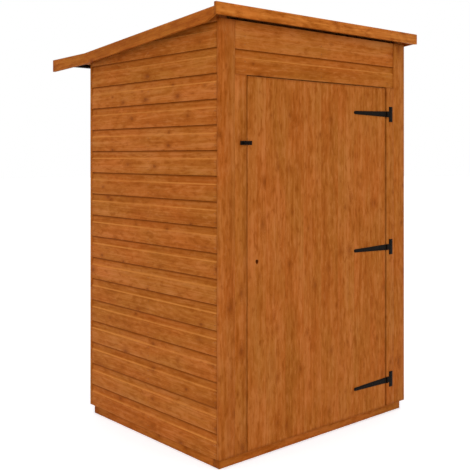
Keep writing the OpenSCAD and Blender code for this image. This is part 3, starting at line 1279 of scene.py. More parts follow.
@dataclass(frozen=True)
class NailHead:
    """A round, slightly domed nail head."""

    radius: float = 0.0027
    rise: float = 0.0005
    root: float = 0.001
    crown: float = 0.80
    sides: int = 12

    def mesh(self) -> bmesh.types.BMesh:
        """Shapes the head.

        Returns:
            Its mesh, facing +Z with its root under the XY plane.
        """
        head = bmesh.new()
        bmesh.ops.create_cone(
            head,
            cap_ends=True,
            segments=self.sides,
            radius1=self.radius,
            radius2=self.radius * self.crown,
            depth=self.rise + self.root,
        )
        bmesh.ops.translate(
            head, verts=head.verts, vec=(0.0, 0.0, (self.rise - self.root) / 2)
        )
        return head


@dataclass(frozen=True)
class ScrewHead:
    """A domed screw head with a cross recess."""

    radius: float = 0.0040
    rise: float = 0.0015
    root: float = 0.0006
    cells: int = 9
    cross: float = 0.58
    doming: float = 0.82
    recess: float = 0.75

    def mesh(self) -> bmesh.types.BMesh:
        """Shapes the head from a square grid drawn out to a disc.

        Returns:
            Its mesh, facing +Z with its root under the XY plane.
        """
        head = bmesh.new()
        bmesh.ops.create_grid(
            head, x_segments=self.cells, y_segments=self.cells, size=1.0
        )
        arm = 1.0 / self.cells
        cross = [
            f
            for f in head.faces
            if min(map(abs, f.calc_center_median().xy)) < arm
            and max(map(abs, f.calc_center_median().xy)) < self.cross
        ]
        rim = [e for e in head.edges if e.is_boundary]
        skirt = drawn_points(bmesh.ops.extrude_edge_only(head, edges=rim)["geom"])
        for vert in head.verts:
            x, y, _ = vert.co
            flat = Vector(
                (x * math.sqrt(1 - y * y / 2), y * math.sqrt(1 - x * x / 2), 0.0)
            )
            fall = max(0.0, 1 - self.doming * flat.length_squared)
            vert.co = flat * self.radius + UP * (self.rise * math.sqrt(fall))
        for vert in skirt:
            vert.co.z = -self.root
        sunk = drawn_points(bmesh.ops.extrude_face_region(head, geom=cross)["geom"])
        bmesh.ops.translate(
            head, verts=sunk, vec=(0.0, 0.0, -self.rise * self.recess)
        )
        base = [e for e in head.edges if e.is_boundary]
        bmesh.ops.holes_fill(head, edges=base, sides=0)
        bmesh.ops.recalc_face_normals(head, faces=head.faces)
        return head


class Fixings:
    """Nails or screws of one kind over one part of the shed, as one piece."""

    lean = 0.05

    def __init__(self, name: str, head: NailHead | ScrewHead) -> None:
        """Starts the piece.

        Args:
            name: the piece's name.
            head: the head that it repeats.
        """
        self.name = name
        self.dice = random.Random(name)
        self.mesh = bmesh.new()
        pattern = head.mesh()
        self.head = bpy.data.meshes.new("head")
        pattern.to_mesh(self.head)
        pattern.free()

    def drive(self, point: Vector, out: Vector, sunk: float = 0.0) -> None:
        """Sets one head.

        Args:
            point: where it is, on the surface.
            out: the surface's outward direction.
            sunk: how far below the surface it is driven.
        """
        turn = out.to_track_quat("Z", "Y").to_matrix().to_4x4()
        spin = Matrix.Rotation(self.dice.uniform(0, math.tau), 4, "Z")
        lean = Matrix.Rotation(self.dice.uniform(-self.lean, self.lean), 4, "X")
        before = len(self.mesh.verts)
        self.mesh.from_mesh(self.head)
        self.mesh.verts.ensure_lookup_table()
        bmesh.ops.transform(
            self.mesh,
            matrix=Matrix.Translation(point - out * sunk) @ turn @ lean @ spin,
            verts=self.mesh.verts[before:],
        )

    def piece(
        self, finish: Finish, body: Body, slot: Slot = Slot.IRON
    ) -> bpy.types.Object:
        """Makes the heads into a piece."""
        bpy.data.meshes.remove(self.head)
        return make_piece(self.name, self.mesh, finish, body)


# ---------------------------------------------------------------- the shed


@dataclass(frozen=True)
class RoofLine:
    """The roof's slopes, read from the two decks."""

    front: Vector
    bend: Vector
    eaves: Vector
    thickness: float

    @classmethod
    def read(cls) -> RoofLine:
        """Reads the roof boards' underside from the two decks.

        Returns:
            Its three points from front to back, and the boards' thickness.
        """
        main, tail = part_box("roof_deck"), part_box("eaves_deck")
        deck, eaves = node_points("roof_deck"), node_points("eaves_deck")
        line = [
            min((p for p in points if abs(p.y - y) < CLOSE), key=lambda p: p.z)
            for points, y in (
                (deck, main[0].y),
                (deck, main[1].y),
                (eaves, tail[1].y),
            )
        ]
        line = [Vector((0.0, p.y, p.z)) for p in line]
        return cls(*line, main[1].z - line[0].z)

    def main_run(self) -> Vector:
        """The way that the main slope's boards run, front to back."""
        return (self.bend - self.front).normalized()

    def tail_run(self) -> Vector:
        """The way that the eaves' boards run."""
        return (self.eaves - self.bend).normalized()

    @staticmethod
    def square_up(run: Vector) -> Vector:
        """Square to a slope, upwards."""
        return RIGHT.cross(run)

    def height(self, y: float) -> float:
        """Finds the underside's height.

        Args:
            y: how far back.

        Returns:
            The height there.
        """
        first, last = (
            (self.front, self.bend) if y <= self.bend.y else (self.bend, self.eaves)
        )
        return first.z + (last.z - first.z) * (y - first.y) / (last.y - first.y)


@dataclass(frozen=True)
class Shiplap:
    """A shiplap board's section: a square lip, a scooped shoulder and a tongue above.

    nose and scoop are curves: how far up the board, and how far in. The scoop's second
    number is a share of the recess.
    """

    thick: float = 0.012
    lip: float = 0.0058
    lap: float = 0.0105
    scoop_height: float = 0.039
    recess: float = 0.0046
    gap: float = 0.0016
    ease: float = 0.001
    play: float = 0.0008
    tongue_ease: float = 0.0026
    tongue_end: float = 0.0018
    nose: Outline = ((0.0, 0.0010), (0.0004, 0.0003), (0.0012, 0.0))
    scoop: Outline = (
        (0.0000, 0.00),
        (0.0010, 0.30),
        (0.0026, 0.56),
        (0.0048, 0.76),
        (0.0078, 0.91),
        (0.0115, 0.98),
        (0.0160, 1.00),
    )

    def outline(self, cover: float, plain: bool = False) -> Outline:
        """Draws the section of one board.

        Args:
            cover: how much of the board shows.
            plain: leaves out the scoop, and the tongue with it.

        Returns:
            Points across and out, from the lip's bottom corner round to the back.
        """
        face, back = self.thick, 0.0
        points = [(run, face - drop) for run, drop in self.nose]
        if plain:
            points += [(cover - self.ease, face), (cover, face - self.ease)]
            points.append((cover, back))
        else:
            low = cover - self.scoop_height
            points += [
                (low + run, face - self.recess * drop) for run, drop in self.scoop
            ]
            shoulder, tongue = cover - self.gap, self.thick - self.lip - self.play
            points += [
                (shoulder, face - self.recess),
                (shoulder, tongue),
                (cover + self.lap - self.tongue_ease, tongue),
                (cover + self.lap - self.tongue_end, tongue - self.ease),
                (cover + self.lap - self.tongue_end, back),
            ]
        points += [
            (self.lap, back),
            (self.lap, self.thick - self.lip),
            (0.0, self.thick - self.lip),
        ]
        return points


@dataclass
class Cladding:
    """One wall of shiplap boards, laid from the bottom up."""

    node: str
    faces: Vector
    cover: float = 0.112
    moulding: Shiplap = field(default_factory=Shiplap)
    nails_at: Sequence[float] = ()
    nail_rises: Sequence[float] = (0.021, 0.060)
    nail_margin: float = 0.012
    nail_sunk: float = 0.0002
    top_courses: int | None = None

    def lengthwise(self) -> Vector:
        """The way that the boards run."""
        return UP.cross(self.faces)

    def build(self) -> None:
        """Lays the boards and drives their nails."""
        low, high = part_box(self.node)
        along = self.lengthwise()
        ends = sorted((low.dot(along), high.dot(along)))
        inner = min(low.dot(self.faces), high.dot(self.faces))
        start = along * ends[0] + self.faces * inner
        slope = self._slope()
        boards = Lumber(f"{self.node}_boards")
        nails = Fixings(f"{self.node}_nails", NailHead())
        for bottom, height, plain in self._courses(low.z, high.z):
            lie = Lie(start + UP * bottom, along, self.faces)
            boards.lapped = not plain
            boards.moulded(
                self.moulding.outline(height, plain), ends[1] - ends[0], lie, slope
            )
            for place in self.nails_at:
                for rise in self.nail_rises:
                    spot = along * (place * along.dot(self._sideways()))
                    spot += self.faces * (inner + self.moulding.thick)
                    spot += UP * (bottom + rise)
                    if self._holds(spot, slope, high.z):
                        nails.drive(spot, self.faces, self.nail_sunk)
        boards.piece(WALL, Slot.WALL, Body.SHED, (self.node,))
        nails.piece(DIPPED_NAIL, Body.SHED, Slot.WALL)

    def _courses(self, low: float, high: float) -> list[tuple[float, float, bool]]:
        """Sets out the courses.

        Args:
            low: the wall's foot.
            high: its top.

        Returns:
            Each course's bottom, its height and whether it is plain.
        """
        if self.top_courses is None:
            count = math.ceil((high - low) / self.cover - ON_PLANE)
        else:
            count = self.top_courses - 1
        rows = [(low + self.cover * k, self.cover, False) for k in range(count)]
        if self.top_courses is not None:
            last = low + self.cover * count
            rows.append((last, high - last, True))
        return rows

    def _sideways(self) -> Vector:
        """The shed's own axis that the wall runs along, to read places on."""
        return Vector([abs(c) for c in self.lengthwise()])

    def _slope(self) -> list[tuple[Vector, Vector]]:
        """Finds the cut along the top of the wall, under the roof.

        Returns:
            A point on the cut, with the side that is waste.
        """
        low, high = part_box(self.node)
        tops = [p for p in node_points(self.node) if p.z > (low.z + high.z) / 2]
        front = max((p for p in tops if p.y < low.y + CLOSE), key=lambda p: p.z)
        behind = [p for p in tops if p.y > front.y + self.cover]
        if not behind:
            return [(Vector(high), UP)]
        back = min(behind, key=lambda p: p.y)
        run = Vector((0.0, back.y - front.y, back.z - front.z)).normalized()
        return [(front.copy(), RoofLine.square_up(run))]

    def _holds(
        self, spot: Vector, slope: list[tuple[Vector, Vector]], top: float
    ) -> bool:
        """Whether a nail has board all round it, under the slope and the top."""
        under = [(spot - point).dot(out) for point, out in slope]
        return max(*under, spot.z - top) < -self.nail_margin


@dataclass
class Walls:
    """The boarding and the corner boards.

    Each trim is a frame node, the way that it faces and its share of the arris.
    """

    arris: float = 0.0010
    trims: Sequence[tuple[str, Vector, float]] = (
        ("front_left_trim", FRONT, 1.0),
        ("front_right_trim", FRONT, 1.0),
        ("left_jamb_board", FRONT, 0.6),
        ("right_jamb_board", FRONT, 0.6),
        ("back_left_trim", BACK, 1.0),
        ("back_right_trim", BACK, 1.0),
    )
    back_nails: Sequence[float] = (-0.545, 0.0, 0.545)
    off_middle: float = 0.1
    nail: NailHead = NailHead(0.0024, 0.0003)
    first_nail: float = 0.06
    last_nail: float = 0.07
    nail_pitch: float = 0.30
    nail_sunk: float = 0.0003

    def build(self) -> None:
        """Builds the four walls and their trims."""
        posts = [(low.y + high.y) / 2 for low, high in solids("corner_posts")[:2]]
        studs = [
            (low + high) / 2
            for low, high in solids("middle_studs")
            if abs(low.x + high.x) > self.off_middle
        ]
        side = (*sorted(posts), studs[0].y)
        Cladding("left_cladding", LEFT, nails_at=side).build()
        Cladding("right_cladding", RIGHT, nails_at=side).build()
        Cladding("back_cladding", BACK, nails_at=self.back_nails).build()
        jambs = [(low.x + high.x) / 2 for low, high in solids("door_posts")]
        Cladding(
            "header_cladding", FRONT, nails_at=(*jambs, 0.0), top_courses=2
        ).build()
        for node, face, share in self.trims:
            stick_piece(node, UP, face, TRIM, Slot.TRIM, arris=self.arris * share)
        self._trim_nails()

    def _trim_nails(self) -> None:
        """Nails down the corner boards and the jamb boards."""
        nails = Fixings("trim_nails", self.nail)
        for node, out, _ in self.trims:
            low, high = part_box(node)
            face = low.y if out is FRONT else high.y
            middle = (low.x + high.x) / 2
            foot, top = low.z + self.first_nail, high.z - self.last_nail
            for z in evenly(foot, top, self.nail_pitch):
                nails.drive(Vector((middle, face, z)), out, self.nail_sunk)
        nails.piece(DIPPED_NAIL, Body.SHED, Slot.TRIM)


@dataclass
class Framing:
    """The sawn posts and rails inside the walls."""

    arris: float = EASED

    def build(self) -> None:
        """Builds every stick of the frame."""
        for node, along, face in (
            ("corner_posts", UP, FRONT),
            ("door_posts", UP, FRONT),
            ("middle_studs", UP, BACK),
            ("back_top_rail", RIGHT, FRONT),
            ("front_top_rail", RIGHT, FRONT),
            ("head_rail", RIGHT, FRONT),
            ("threshold", RIGHT, FRONT),
            ("purlin", RIGHT, UP),
            ("bottom_rails", None, UP),
            ("side_top_rails", RoofLine.read().main_run(), LEFT),
        ):
            stick_piece(node, along, face, FRAME, Slot.FRAME, arris=self.arris)


@dataclass
class Base:
    """The floor: boards across bearers."""

    board: float = 0.1072
    arris: float = 0.0009
    bearer_arris: float = 0.0016
    nail: NailHead = NailHead(0.0026, 0.0003)
    nail_from_edge: float = 0.022
    nail_from_end: float = 0.045
    nail_from_side: float = 0.05
    nail_sunk: float = 0.0003

    def build(self) -> None:
        """Builds the bearers, the boards and their nails."""
        for node, along, face in (
            ("front_joist", RIGHT, FRONT),
            ("back_joist", RIGHT, FRONT),
            ("middle_joist", RIGHT, FRONT),
            ("left_joist", BACK, LEFT),
            ("right_joist", BACK, LEFT),
        ):
            stick_piece(node, along, face, BASE, Slot.FRAME, arris=self.bearer_arris)
        low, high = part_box("floor_deck")
        joints = leftwards(evenly(low.x, high.x, self.board))
        boards = Lumber("floor_boards")
        boards.ripped("floor_deck", BACK, UP, joints, self.arris)
        boards.piece(FLOOR, Slot.FLOOR, Body.SHED, ("floor_deck",))
        self._nails(joints, low, high)

    def _nails(self, joints: Sequence[float], low: Vector, high: Vector) -> None:
        """Nails each board to the front, middle and back bearers.

        Args:
            joints: where the boards' edges are.
            low: the floor's lowest corner.
            high: the floor's highest corner.
        """
        nails = Fixings("floor_nails", self.nail)
        in_by, margin = self.nail_from_edge, self.nail_from_side
        middle = sum(corner.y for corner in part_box("middle_joist")) / 2
        front, back = low.y + self.nail_from_end, high.y - self.nail_from_end
        for y in (middle, front, back):
            for left, right in zip(joints, joints[1:]):
                for x in (left + in_by, right - in_by):
                    if low.x + margin < x < high.x - margin:
                        nails.drive(Vector((x, y, high.z)), UP, self.nail_sunk)
        nails.piece(ZINC, Body.SHED, Slot.FLOOR)


@dataclass
class Roof:
    """The roof's boards, and the batten under the eaves, finished near black as painted
    shade.
    """

    line: RoofLine
    board: float = 0.099
    arris: float = 0.0009

    def build(self) -> None:
        """Builds the decks and the batten."""
        low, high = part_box("roof_deck")
        joints = leftwards(evenly(low.x, high.x, self.board))
        for node, run in (
            ("roof_deck", self.line.main_run()),
            ("eaves_deck", self.line.tail_run()),
        ):
            boards = Lumber(f"{node}_boards")
            boards.ripped(node, run, self.line.square_up(run), joints, self.arris)
            boards.piece(ROOF, Slot.ROOF, Body.SHED, (node,))
        # The batten is near black: painted shade under the eaves.
        stick_piece("eaves_batten", RIGHT, UP, PAINTED_SHADE_TIMBER, Slot.FRAME)


@dataclass
class Felt:
    """Two sheets of felt on the roof, the upper one lapped over the lower.

    drip is how the felt turns down over the eaves, from its outer face and the boards'
    top. Past still_from it lies flat, because its edge is nailed there.
    """

    line: RoofLine
    sheet: float = 0.0020
    lap_at: float = -0.105
    lap: float = 0.075
    lap_lift: float = 0.0024
    fall_from: float = 0.500
    step_down: float = 0.045
    step_across: float = 0.05
    drip: Outline = ((-0.0045, -0.0002), (-0.0012, -0.0018), (0.0, -0.0055))
    drip_from: float = 0.010
    inset: float = 0.0003
    front_inset: float = 0.0008
    side_inset: float = 0.0006
    hem: float = 0.0004
    clear: float = 0.0002
    wave: float = 0.0007
    wave_swing: float = 1.4
    waves: tuple[float, float] = (5.0, 7.0)
    lower_seed: float = 3.0
    upper_seed: float = 11.0
    curl_in: float = 0.012
    curl_up: float = 0.004
    ease_in: float = 0.05
    still_from: float = 0.828
    nail: NailHead = NailHead(0.0050, 0.0012)
    nail_pitch: float = 0.10
    nail_from_end: float = 0.05
    nail_over_lap: float = 0.018
    nail_lift: float = 0.0026
    lap_nail_sunk: float = 0.0002
    drip_nail_sunk: float = 0.0004
    drip_nail_in: float = 0.0001

    def build(self) -> None:
        """Lays both sheets and nails them along the lap and the eaves."""
        low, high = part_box("roof_felt")
        start = self.lap_at - self.lap
        lower = self._slope(start, self.fall_from)
        lower += self._slope(self.fall_from, high.y - self.drip_from)[1:]
        edge = high.y - self.sheet - self.inset
        crown = self._deck_top(edge)
        lower += [(edge + run, crown + drop) for run, drop in self.drip]
        lower += [
            (edge, (crown + low.z) / 2),
            (edge - self.inset, low.z + self.hem),
        ]
        upper = self._slope(low.y + self.front_inset, self.lap_at)
        felt = bmesh.new()
        for strip, seed, lift in (
            (lower, self.lower_seed, 0.0),
            (upper, self.upper_seed, self.lap_lift),
        ):
            pour(self._laid(strip, low.x, high.x, seed, lift), felt)
        make_piece(
            "roof_felt_sheets", felt, FELT, Body.SHED, ("roof_felt",)
        )
        self._nails(low, high, (crown + low.z) / 2)

    def _deck_top(self, y: float) -> float:
        """The height of the roof boards' upper face."""
        return self.line.height(y) + self.line.thickness

    def _slope(self, start: float, end: float) -> list[tuple[float, float]]:
        """Places and heights down the boards, from one distance back to another."""
        return [(y, self._deck_top(y)) for y in evenly(start, end, self.step_down)]

    def _nails(self, low: Vector, high: Vector, drip: float) -> None:
        """Big-headed nails along the lap, and along the felt's edge at the eaves.

        Args:
            low: the felt's lowest corner.
            high: its highest corner.
            drip: how high the nails at the eaves are.
        """
        nails = Fixings("felt_nails", self.nail)
        up = self.line.square_up(self.line.main_run())
        y = self.lap_at - self.nail_over_lap
        z = self._deck_top(y) + 2 * self.sheet + self.nail_lift
        ends = low.x + self.nail_from_end, high.x - self.nail_from_end
        for x in evenly(*ends, self.nail_pitch):
            nails.drive(Vector((x, y, z)), up, self.lap_nail_sunk)
            hem = Vector((x, high.y - self.drip_nail_in, drip))
            nails.drive(hem, BACK, self.drip_nail_sunk)
        nails.piece(ZINC, Body.SHED, Slot.FELT)

    def _laid(
        self,
        strip: Sequence[tuple[float, float]],
        left: float,
        right: float,
        seed: float,
        lift: float,
    ) -> bmesh.types.BMesh:
        """Lays one sheet.

        Args:
            strip: its run from front to back, as places and heights.
            left: its left edge.
            right: its right edge.
            seed: picks its waves.
            lift: how far it rides up where it laps the other.

        Returns:
            Its mesh.
        """
        across = evenly(
            left + self.side_inset, right - self.side_inset, self.step_across
        )
        sheet = bmesh.new()
        row = [sheet.verts.new((across[0], y, z)) for y, z in strip]
        edges = [sheet.edges.new(pair) for pair in zip(row, row[1:])]
        for here, there in zip(across, across[1:]):
            drawn = bmesh.ops.extrude_edge_only(sheet, edges=edges)["geom"]
            edges = [g for g in drawn if isinstance(g, bmesh.types.BMEdge)]
            bmesh.ops.translate(
                sheet, verts=drawn_points(drawn), vec=(there - here, 0.0, 0.0)
            )
        start = self.lap_at - self.lap
        for vert in sheet.verts:
            x, y, _ = vert.co
            flat = Vector((x * self.waves[0], y * self.waves[1], seed))
            wave = self.wave * (1.0 + noise.noise(flat) * self.wave_swing)
            curled = max(0.0, (abs(x) - right + self.curl_in) / self.curl_in)
            curl = curled**2 * self.curl_up
            eased = (y - start + self.ease_in) / self.ease_in
            vert.co.z += self.clear + wave + curl + lift * min(1.0, max(0.0, eased))
            if y > self.still_from:
                vert.co.z -= wave + curl
        bmesh.ops.recalc_face_normals(sheet, faces=sheet.faces)
        if sum(f.normal.z for f in sheet.faces) < 0:
            bmesh.ops.reverse_faces(sheet, faces=sheet.faces)
        bmesh.ops.solidify(sheet, geom=sheet.faces[:], thickness=-self.sheet)
        return sheet


@dataclass
class Fascias:
    """The boards round the roof's edge, nailed on in pairs.

    Within the distance single_to of the front, the right side has the upper nail only.
    """

    line: RoofLine
    arris: float = 0.0014
    joint: float = 0.061
    nail: NailHead = NailHead(0.0026, 0.0003)
    nail_lifts: Sequence[float] = (-0.014, 0.014)
    nail_pitch: float = 0.33
    nail_from_front_end: float = 0.05
    nail_from_side_end: float = 0.045
    nail_sunk: float = 0.0007
    single_to: float = 0.1

    def build(self) -> None:
        """Builds the front fascia and both sides' in two lengths, and nails them."""
        stick_piece("front_fascia", RIGHT, FRONT, FASCIA, Slot.TRIM, arris=self.arris)
        sides = [
            (f"{side}_{node}", run, face)
            for side, face in (("left", LEFT), ("right", RIGHT))
            for node, run in (
                ("fascia", self.line.main_run()),
                ("eaves_fascia", self.line.tail_run()),
            )
        ]
        for node, run, face in sides:
            stick_piece(
                node,
                run,
                face,
                SIDE_FASCIA,
                Slot.TRIM,
                arris=self.arris,
                longer_than=self.joint,
            )
        nails = Fixings("fascia_nails", self.nail)
        self._front_nails(nails)
        for node, run, face in sides:
            self._side_nails(nails, node, run, face)
        nails.piece(DIPPED_NAIL, Body.SHED, Slot.TRIM)

    def _front_nails(self, nails: Fixings) -> None:
        """Nails the front fascia.

        Args:
            nails: the piece that gains the nails.
        """
        low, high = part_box("front_fascia")
        middle = (low.z + high.z) / 2
        inset = self.nail_from_front_end
        for x in evenly(low.x + inset, high.x - inset, self.nail_pitch):
            for lift in self.nail_lifts:
                spot = Vector((x, low.y, middle + lift))
                nails.drive(spot, FRONT, self.nail_sunk)

    def _side_nails(
        self, nails: Fixings, node: str, run: Vector, face: Vector
    ) -> None:
        """Nails one length of a side's fascia.

        Args:
            nails: the piece that gains the nails.
            node: the fascia's frame node.
            run: the way that it runs.
            face: the way that it faces.
        """
        low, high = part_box(node)
        x = low.x if face is LEFT else high.x
        fall = abs(run.z / run.y) * (high.y - low.y)
        tall = high.z - low.z - fall
        inset = self.nail_from_side_end
        for y in evenly(low.y + inset, high.y - inset, self.nail_pitch):
            share = (y - low.y) / (high.y - low.y)
            z = high.z - fall * share - tall / 2
            single = node == "right_fascia" and y < low.y + self.single_to
            for lift in self.nail_lifts[single:]:
                nails.drive(Vector((x, y, z + lift)), face, self.nail_sunk)


@dataclass
class Door:
    """The boarded door: matched boards on ledges and braces."""

    boards: int = 8
    v_joint: float = 0.0008
    ledge_arris: float = 0.0016
    brace_arris: float = 0.0014
    nail: NailHead = NailHead(0.0024, 0.0003)
    nail_from_joint: float = 0.028
    nail_from_edge: float = 0.024
    nail_from_end: float = 0.01
    nail_sunk: float = 0.0003

    def build(self) -> None:
        """Builds the boards, the ledges, the braces and their nails."""
        low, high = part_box("door_boards")
        joints = evenly(low.x, high.x, (high.x - low.x) / self.boards)
        boards = Lumber("door_boards_matched")
        boards.ripped("door_boards", UP, FRONT, joints, self.v_joint)
        boards.piece(DOOR, Slot.DOOR, Body.DOOR, ("door_boards",))
        for node, along, arris in (
            ("door_ledges", RIGHT, self.ledge_arris),
            ("door_braces", None, self.brace_arris),
        ):
            stick_piece(node, along, BACK, FRAME, Slot.FRAME, Body.DOOR, arris)
        self._nails(joints)

    def _nails(self, joints: Sequence[float]) -> None:
        """Nails through the boards into each ledge, seen on the inside face.

        Args:
            joints: where the boards' edges are.
        """
        nails = Fixings("door_nails", self.nail)
        in_by, up_by, margin = (
            self.nail_from_joint,
            self.nail_from_edge,
            self.nail_from_end,
        )
        for low, high in solids("door_ledges"):
            for left, right in zip(joints, joints[1:]):
                for x in (left + in_by, right - in_by):
                    if not low.x + margin < x < high.x - margin:
                        continue
                    for z in (low.z + up_by, high.z - up_by):
                        nails.drive(Vector((x, high.y, z)), BACK, self.nail_sunk)
        nails.piece(ZINC, Body.DOOR, Slot.FRAME)


@dataclass
class Ironwork:
    """The hinges, the hasp and the rim lock, with their screws."""

    edge: float = 0.0004
    shortest_edge: float = 0.0022
    sharper_than: float = 50.0
    plate: float = 0.003
    strap_screw: ScrewHead = ScrewHead(0.0034, 0.0012)
    strap_screws: Sequence[float] = (0.016, 0.076, 0.142, 0.208)
    plate_screw: ScrewHead = ScrewHead(0.0038, 0.0013)
    plate_screws: Sequence[float] = (-0.030, -0.0105, 0.0105, 0.030)
    plate_screws_in: float = 0.0135
    leaf_screw: ScrewHead = ScrewHead(0.0025, 0.0009)
    leaf_screws: Sequence[float] = (-0.0048, 0.0048)
    leaf_screws_in: float = 0.0065

    def build(self) -> None:
        """Builds each iron piece and drives its screws."""
        for node, body in (
            ("hinge_plates", Body.SHED),
            ("hinge_straps", Body.DOOR),
            ("staple_plate", Body.SHED),
            ("hasp_staple", Body.SHED),
            ("hasp_leaf", Body.DOOR),
            ("hasp_strap", Body.HASP),
            ("rim_lock", Body.DOOR),
        ):
            self._cast(node, body)
        self._hinge_screws()
        self._hasp_screws()

    def _cast(self, node: str, body: Body) -> None:
        """Makes a piece of a frame node's shape, with its edges softened.

        Args:
            node: the frame node, which the piece stands for.
            body: what it moves with.
        """
        mesh = node_mesh(node)
        bevel_edges(
            mesh, self.edge, longer_than=self.shortest_edge, degrees=self.sharper_than
        )
        make_piece(f"{node}_iron", mesh, IRON, body, (node,))

    def _hinge_screws(self) -> None:
        """Screws along each strap and down each plate."""
        straps = Fixings("hinge_strap_screws", self.strap_screw)
        plates = Fixings("hinge_plate_screws", self.plate_screw)
        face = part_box("door_boards")[0].y - self.plate
        for low, high in solids("hinge_straps"):
            z = (low.z + high.z) / 2
            for run in self.strap_screws:
                straps.drive(Vector((low.x + run, face, z)), FRONT)
        for low, high in solids("hinge_plates"):
            x, z = high.x - self.plate_screws_in, (low.z + high.z) / 2
            for lift in self.plate_screws:
                plates.drive(Vector((x, face, z + lift)), FRONT)
        straps.piece(IRON, Body.DOOR)
        plates.piece(IRON, Body.SHED)

    def _hasp_screws(self) -> None:
        """Two small screws in the hasp's leaf."""
        screws = Fixings("hasp_leaf_screws", self.leaf_screw)
        low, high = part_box("hasp_leaf")
        face = max(p.y for p in node_points("hasp_leaf")) - self.plate
        x, middle = high.x - self.leaf_screws_in, (low.z + high.z) / 2
        for lift in self.leaf_screws:
            screws.drive(Vector((x, face, middle + lift)), FRONT)
        screws.piece(IRON, Body.DOOR)


@dataclass
class LockParts:
    """The rim lock's bolt, drawn back, its cover's screws, and the keep on the post."""

    height: float = 0.012
    bolt: Triple = (0.008, 0.009, 0.024)
    bolt_in: float = 0.0012
    bolt_back: float = 0.001
    bolt_arris: float = 0.0008
    screw: ScrewHead = ScrewHead(0.0035, 0.0012)
    screws_in: float = 0.008
    keep: Triple = (0.0014, 0.020, 0.058)
    keep_back: float = 0.0005
    keep_rim: float = 0.0052
    keep_depth: float = 0.0011

    def build(self) -> None:
        """Builds the bolt, the screws and the keep."""
        low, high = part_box("rim_lock")
        z = (low.z + high.z) / 2 + self.height
        y = (low.y + high.y) / 2 + self.bolt_back
        bolt = block(self.bolt, (low.x + self.bolt_in, y, z))
        bevel_edges(bolt, self.bolt_arris)
        make_piece("lock_bolt", bolt, ZINC, Body.DOOR)
        screws = Fixings("lock_screws", self.screw)
        for x in (low.x + self.screws_in, high.x - self.screws_in):
            for lift in (low.z + self.screws_in, high.z - self.screws_in):
                screws.drive(Vector((x, high.y, lift)), BACK)
        screws.piece(IRON, Body.DOOR)
        post = solids("door_posts")[0][1].x
        keep = block(self.keep, (post + self.keep[0] / 2, low.y + self.keep_back, z))
        hole = max(keep.faces, key=lambda f: f.normal.x)
        bmesh.ops.inset_region(keep, faces=[hole], thickness=self.keep_rim)
        bmesh.ops.translate(keep, vec=(-self.keep_depth, 0.0, 0.0), verts=hole.verts)
        make_piece("lock_keep", keep, IRON, Body.SHED)


# ---------------------------------------------------------------- the studio


@dataclass(frozen=True)
class Sun:
    """A soft lamp: the way that its light goes, its strength and how wide it looks."""

    name: str
    towards: Triple
    strength: float
    degrees: float

    def hang(self) -> None:
        """Puts the lamp in the scene."""
        lamp = bpy.data.lights.new(self.name, "SUN")
        lamp.energy, lamp.angle = self.strength, math.radians(self.degrees)
        sun = bpy.data.objects.new(self.name, lamp)
        against = -Vector(self.towards)
        sun.rotation_euler = against.to_track_quat("Z", "Y").to_euler()
        bpy.context.scene.collection.objects.link(sun)


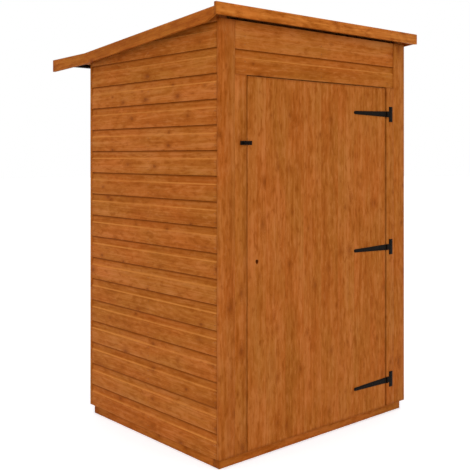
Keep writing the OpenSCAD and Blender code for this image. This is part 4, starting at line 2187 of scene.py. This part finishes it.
@dataclass
class Studio:
    """A pale floor, soft light and the camera.

    heading is in degrees to the right of straight back; lens and film are in
    millimetres. sky is the world's strength, and seen_floor what the camera adds to the
    floor's own colour.
    """

    eye: Triple = (-2.875, -3.146, 1.3643)
    heading: float = 41.449
    lens: float = 60.86
    rise: float = -0.1686
    film: float = 36.0
    sky: float = 0.62
    floor: Colour = (0.93, 0.93, 0.93)
    seen_floor: Colour = (0.31, 0.33, 0.35)
    floor_half: float = 40.0
    suns: Sequence[Sun] = (
        Sun("key_sun", (0.62, 0.70, -0.32), 1.44, 40.0),
        Sun("top_sun", (0.10, 0.12, -1.0), 0.9, 70.0),
    )

    def build(self) -> None:
        """Sets the stage."""
        self._floor()
        self._world()
        for sun in self.suns:
            sun.hang()
        self._camera()
        bpy.context.scene.view_settings.view_transform = "Standard"

    @staticmethod
    def _seen(mix: Recipe) -> Signal:
        """Finds what is looked at, straight or in metal and glass.

        Args:
            mix: the recipe that asks.

        Returns:
            1 where it is looked at, 0 where it only lights the shed.
        """
        path = mix.add("ShaderNodeLightPath")
        mirrored = path.other("Is Glossy Ray").most(path.other("Is Transmission Ray"))
        return path.most(mirrored)

    def _floor(self) -> None:
        """A wide pale floor that keeps the shed's shadow."""
        floor = bmesh.new()
        bmesh.ops.create_grid(floor, x_segments=1, y_segments=1, size=self.floor_half)
        data = bpy.data.meshes.new("studio_floor")
        floor.to_mesh(data)
        floor.free()
        mix = Recipe.named("studio_floor")
        seen = self._seen(mix)
        data.materials.append(
            mix.finish(
                Base_Color=(*self.floor, 1.0),
                Roughness=0.95,
                Emission_Color=mix.mix(seen, (0.0, 0.0, 0.0), self.seen_floor),
                Emission_Strength=1.0,
            )
        )
        stage = bpy.data.objects.new("studio_floor", data)
        bpy.context.scene.collection.objects.link(stage)

    def _world(self) -> None:
        """White behind the shed, and an even pale sky that lights it."""
        world = bpy.data.worlds.new("studio")
        bpy.context.scene.world = world
        mix = Recipe(world)
        strength = self._seen(mix) * (1.0 - self.sky) + self.sky
        glow = mix.add(
            "ShaderNodeBackground",
            None,
            {"Color": (1.0, 1.0, 1.0, 1.0), "Strength": strength},
        )
        mix.add("ShaderNodeOutputWorld", None, {"Surface": glow})

    def _camera(self) -> None:
        """The camera, level, with the horizon moved up by its shift."""
        lens = bpy.data.cameras.new("camera")
        lens.lens, lens.sensor_width = self.lens, self.film
        lens.shift_y = self.rise
        camera = bpy.data.objects.new("camera", lens)
        camera.location = self.eye
        camera.rotation_euler = (math.pi / 2, 0.0, -math.radians(self.heading))
        bpy.context.scene.collection.objects.link(camera)
        bpy.context.scene.camera = camera


def main() -> None:
    """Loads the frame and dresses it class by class."""
    logging.basicConfig(level=logging.INFO, format="%(message)s")
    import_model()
    line = RoofLine.read()
    Studio().build()
    for part in (
        Base(),
        Framing(),
        Walls(),
        Roof(line),
        Felt(line),
        Fascias(line),
        Door(),
        Ironwork(),
        LockParts(),
    ):
        part.build()
        log.info("built %s", type(part).__name__)
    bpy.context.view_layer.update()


if __name__ == "__main__":
    main()
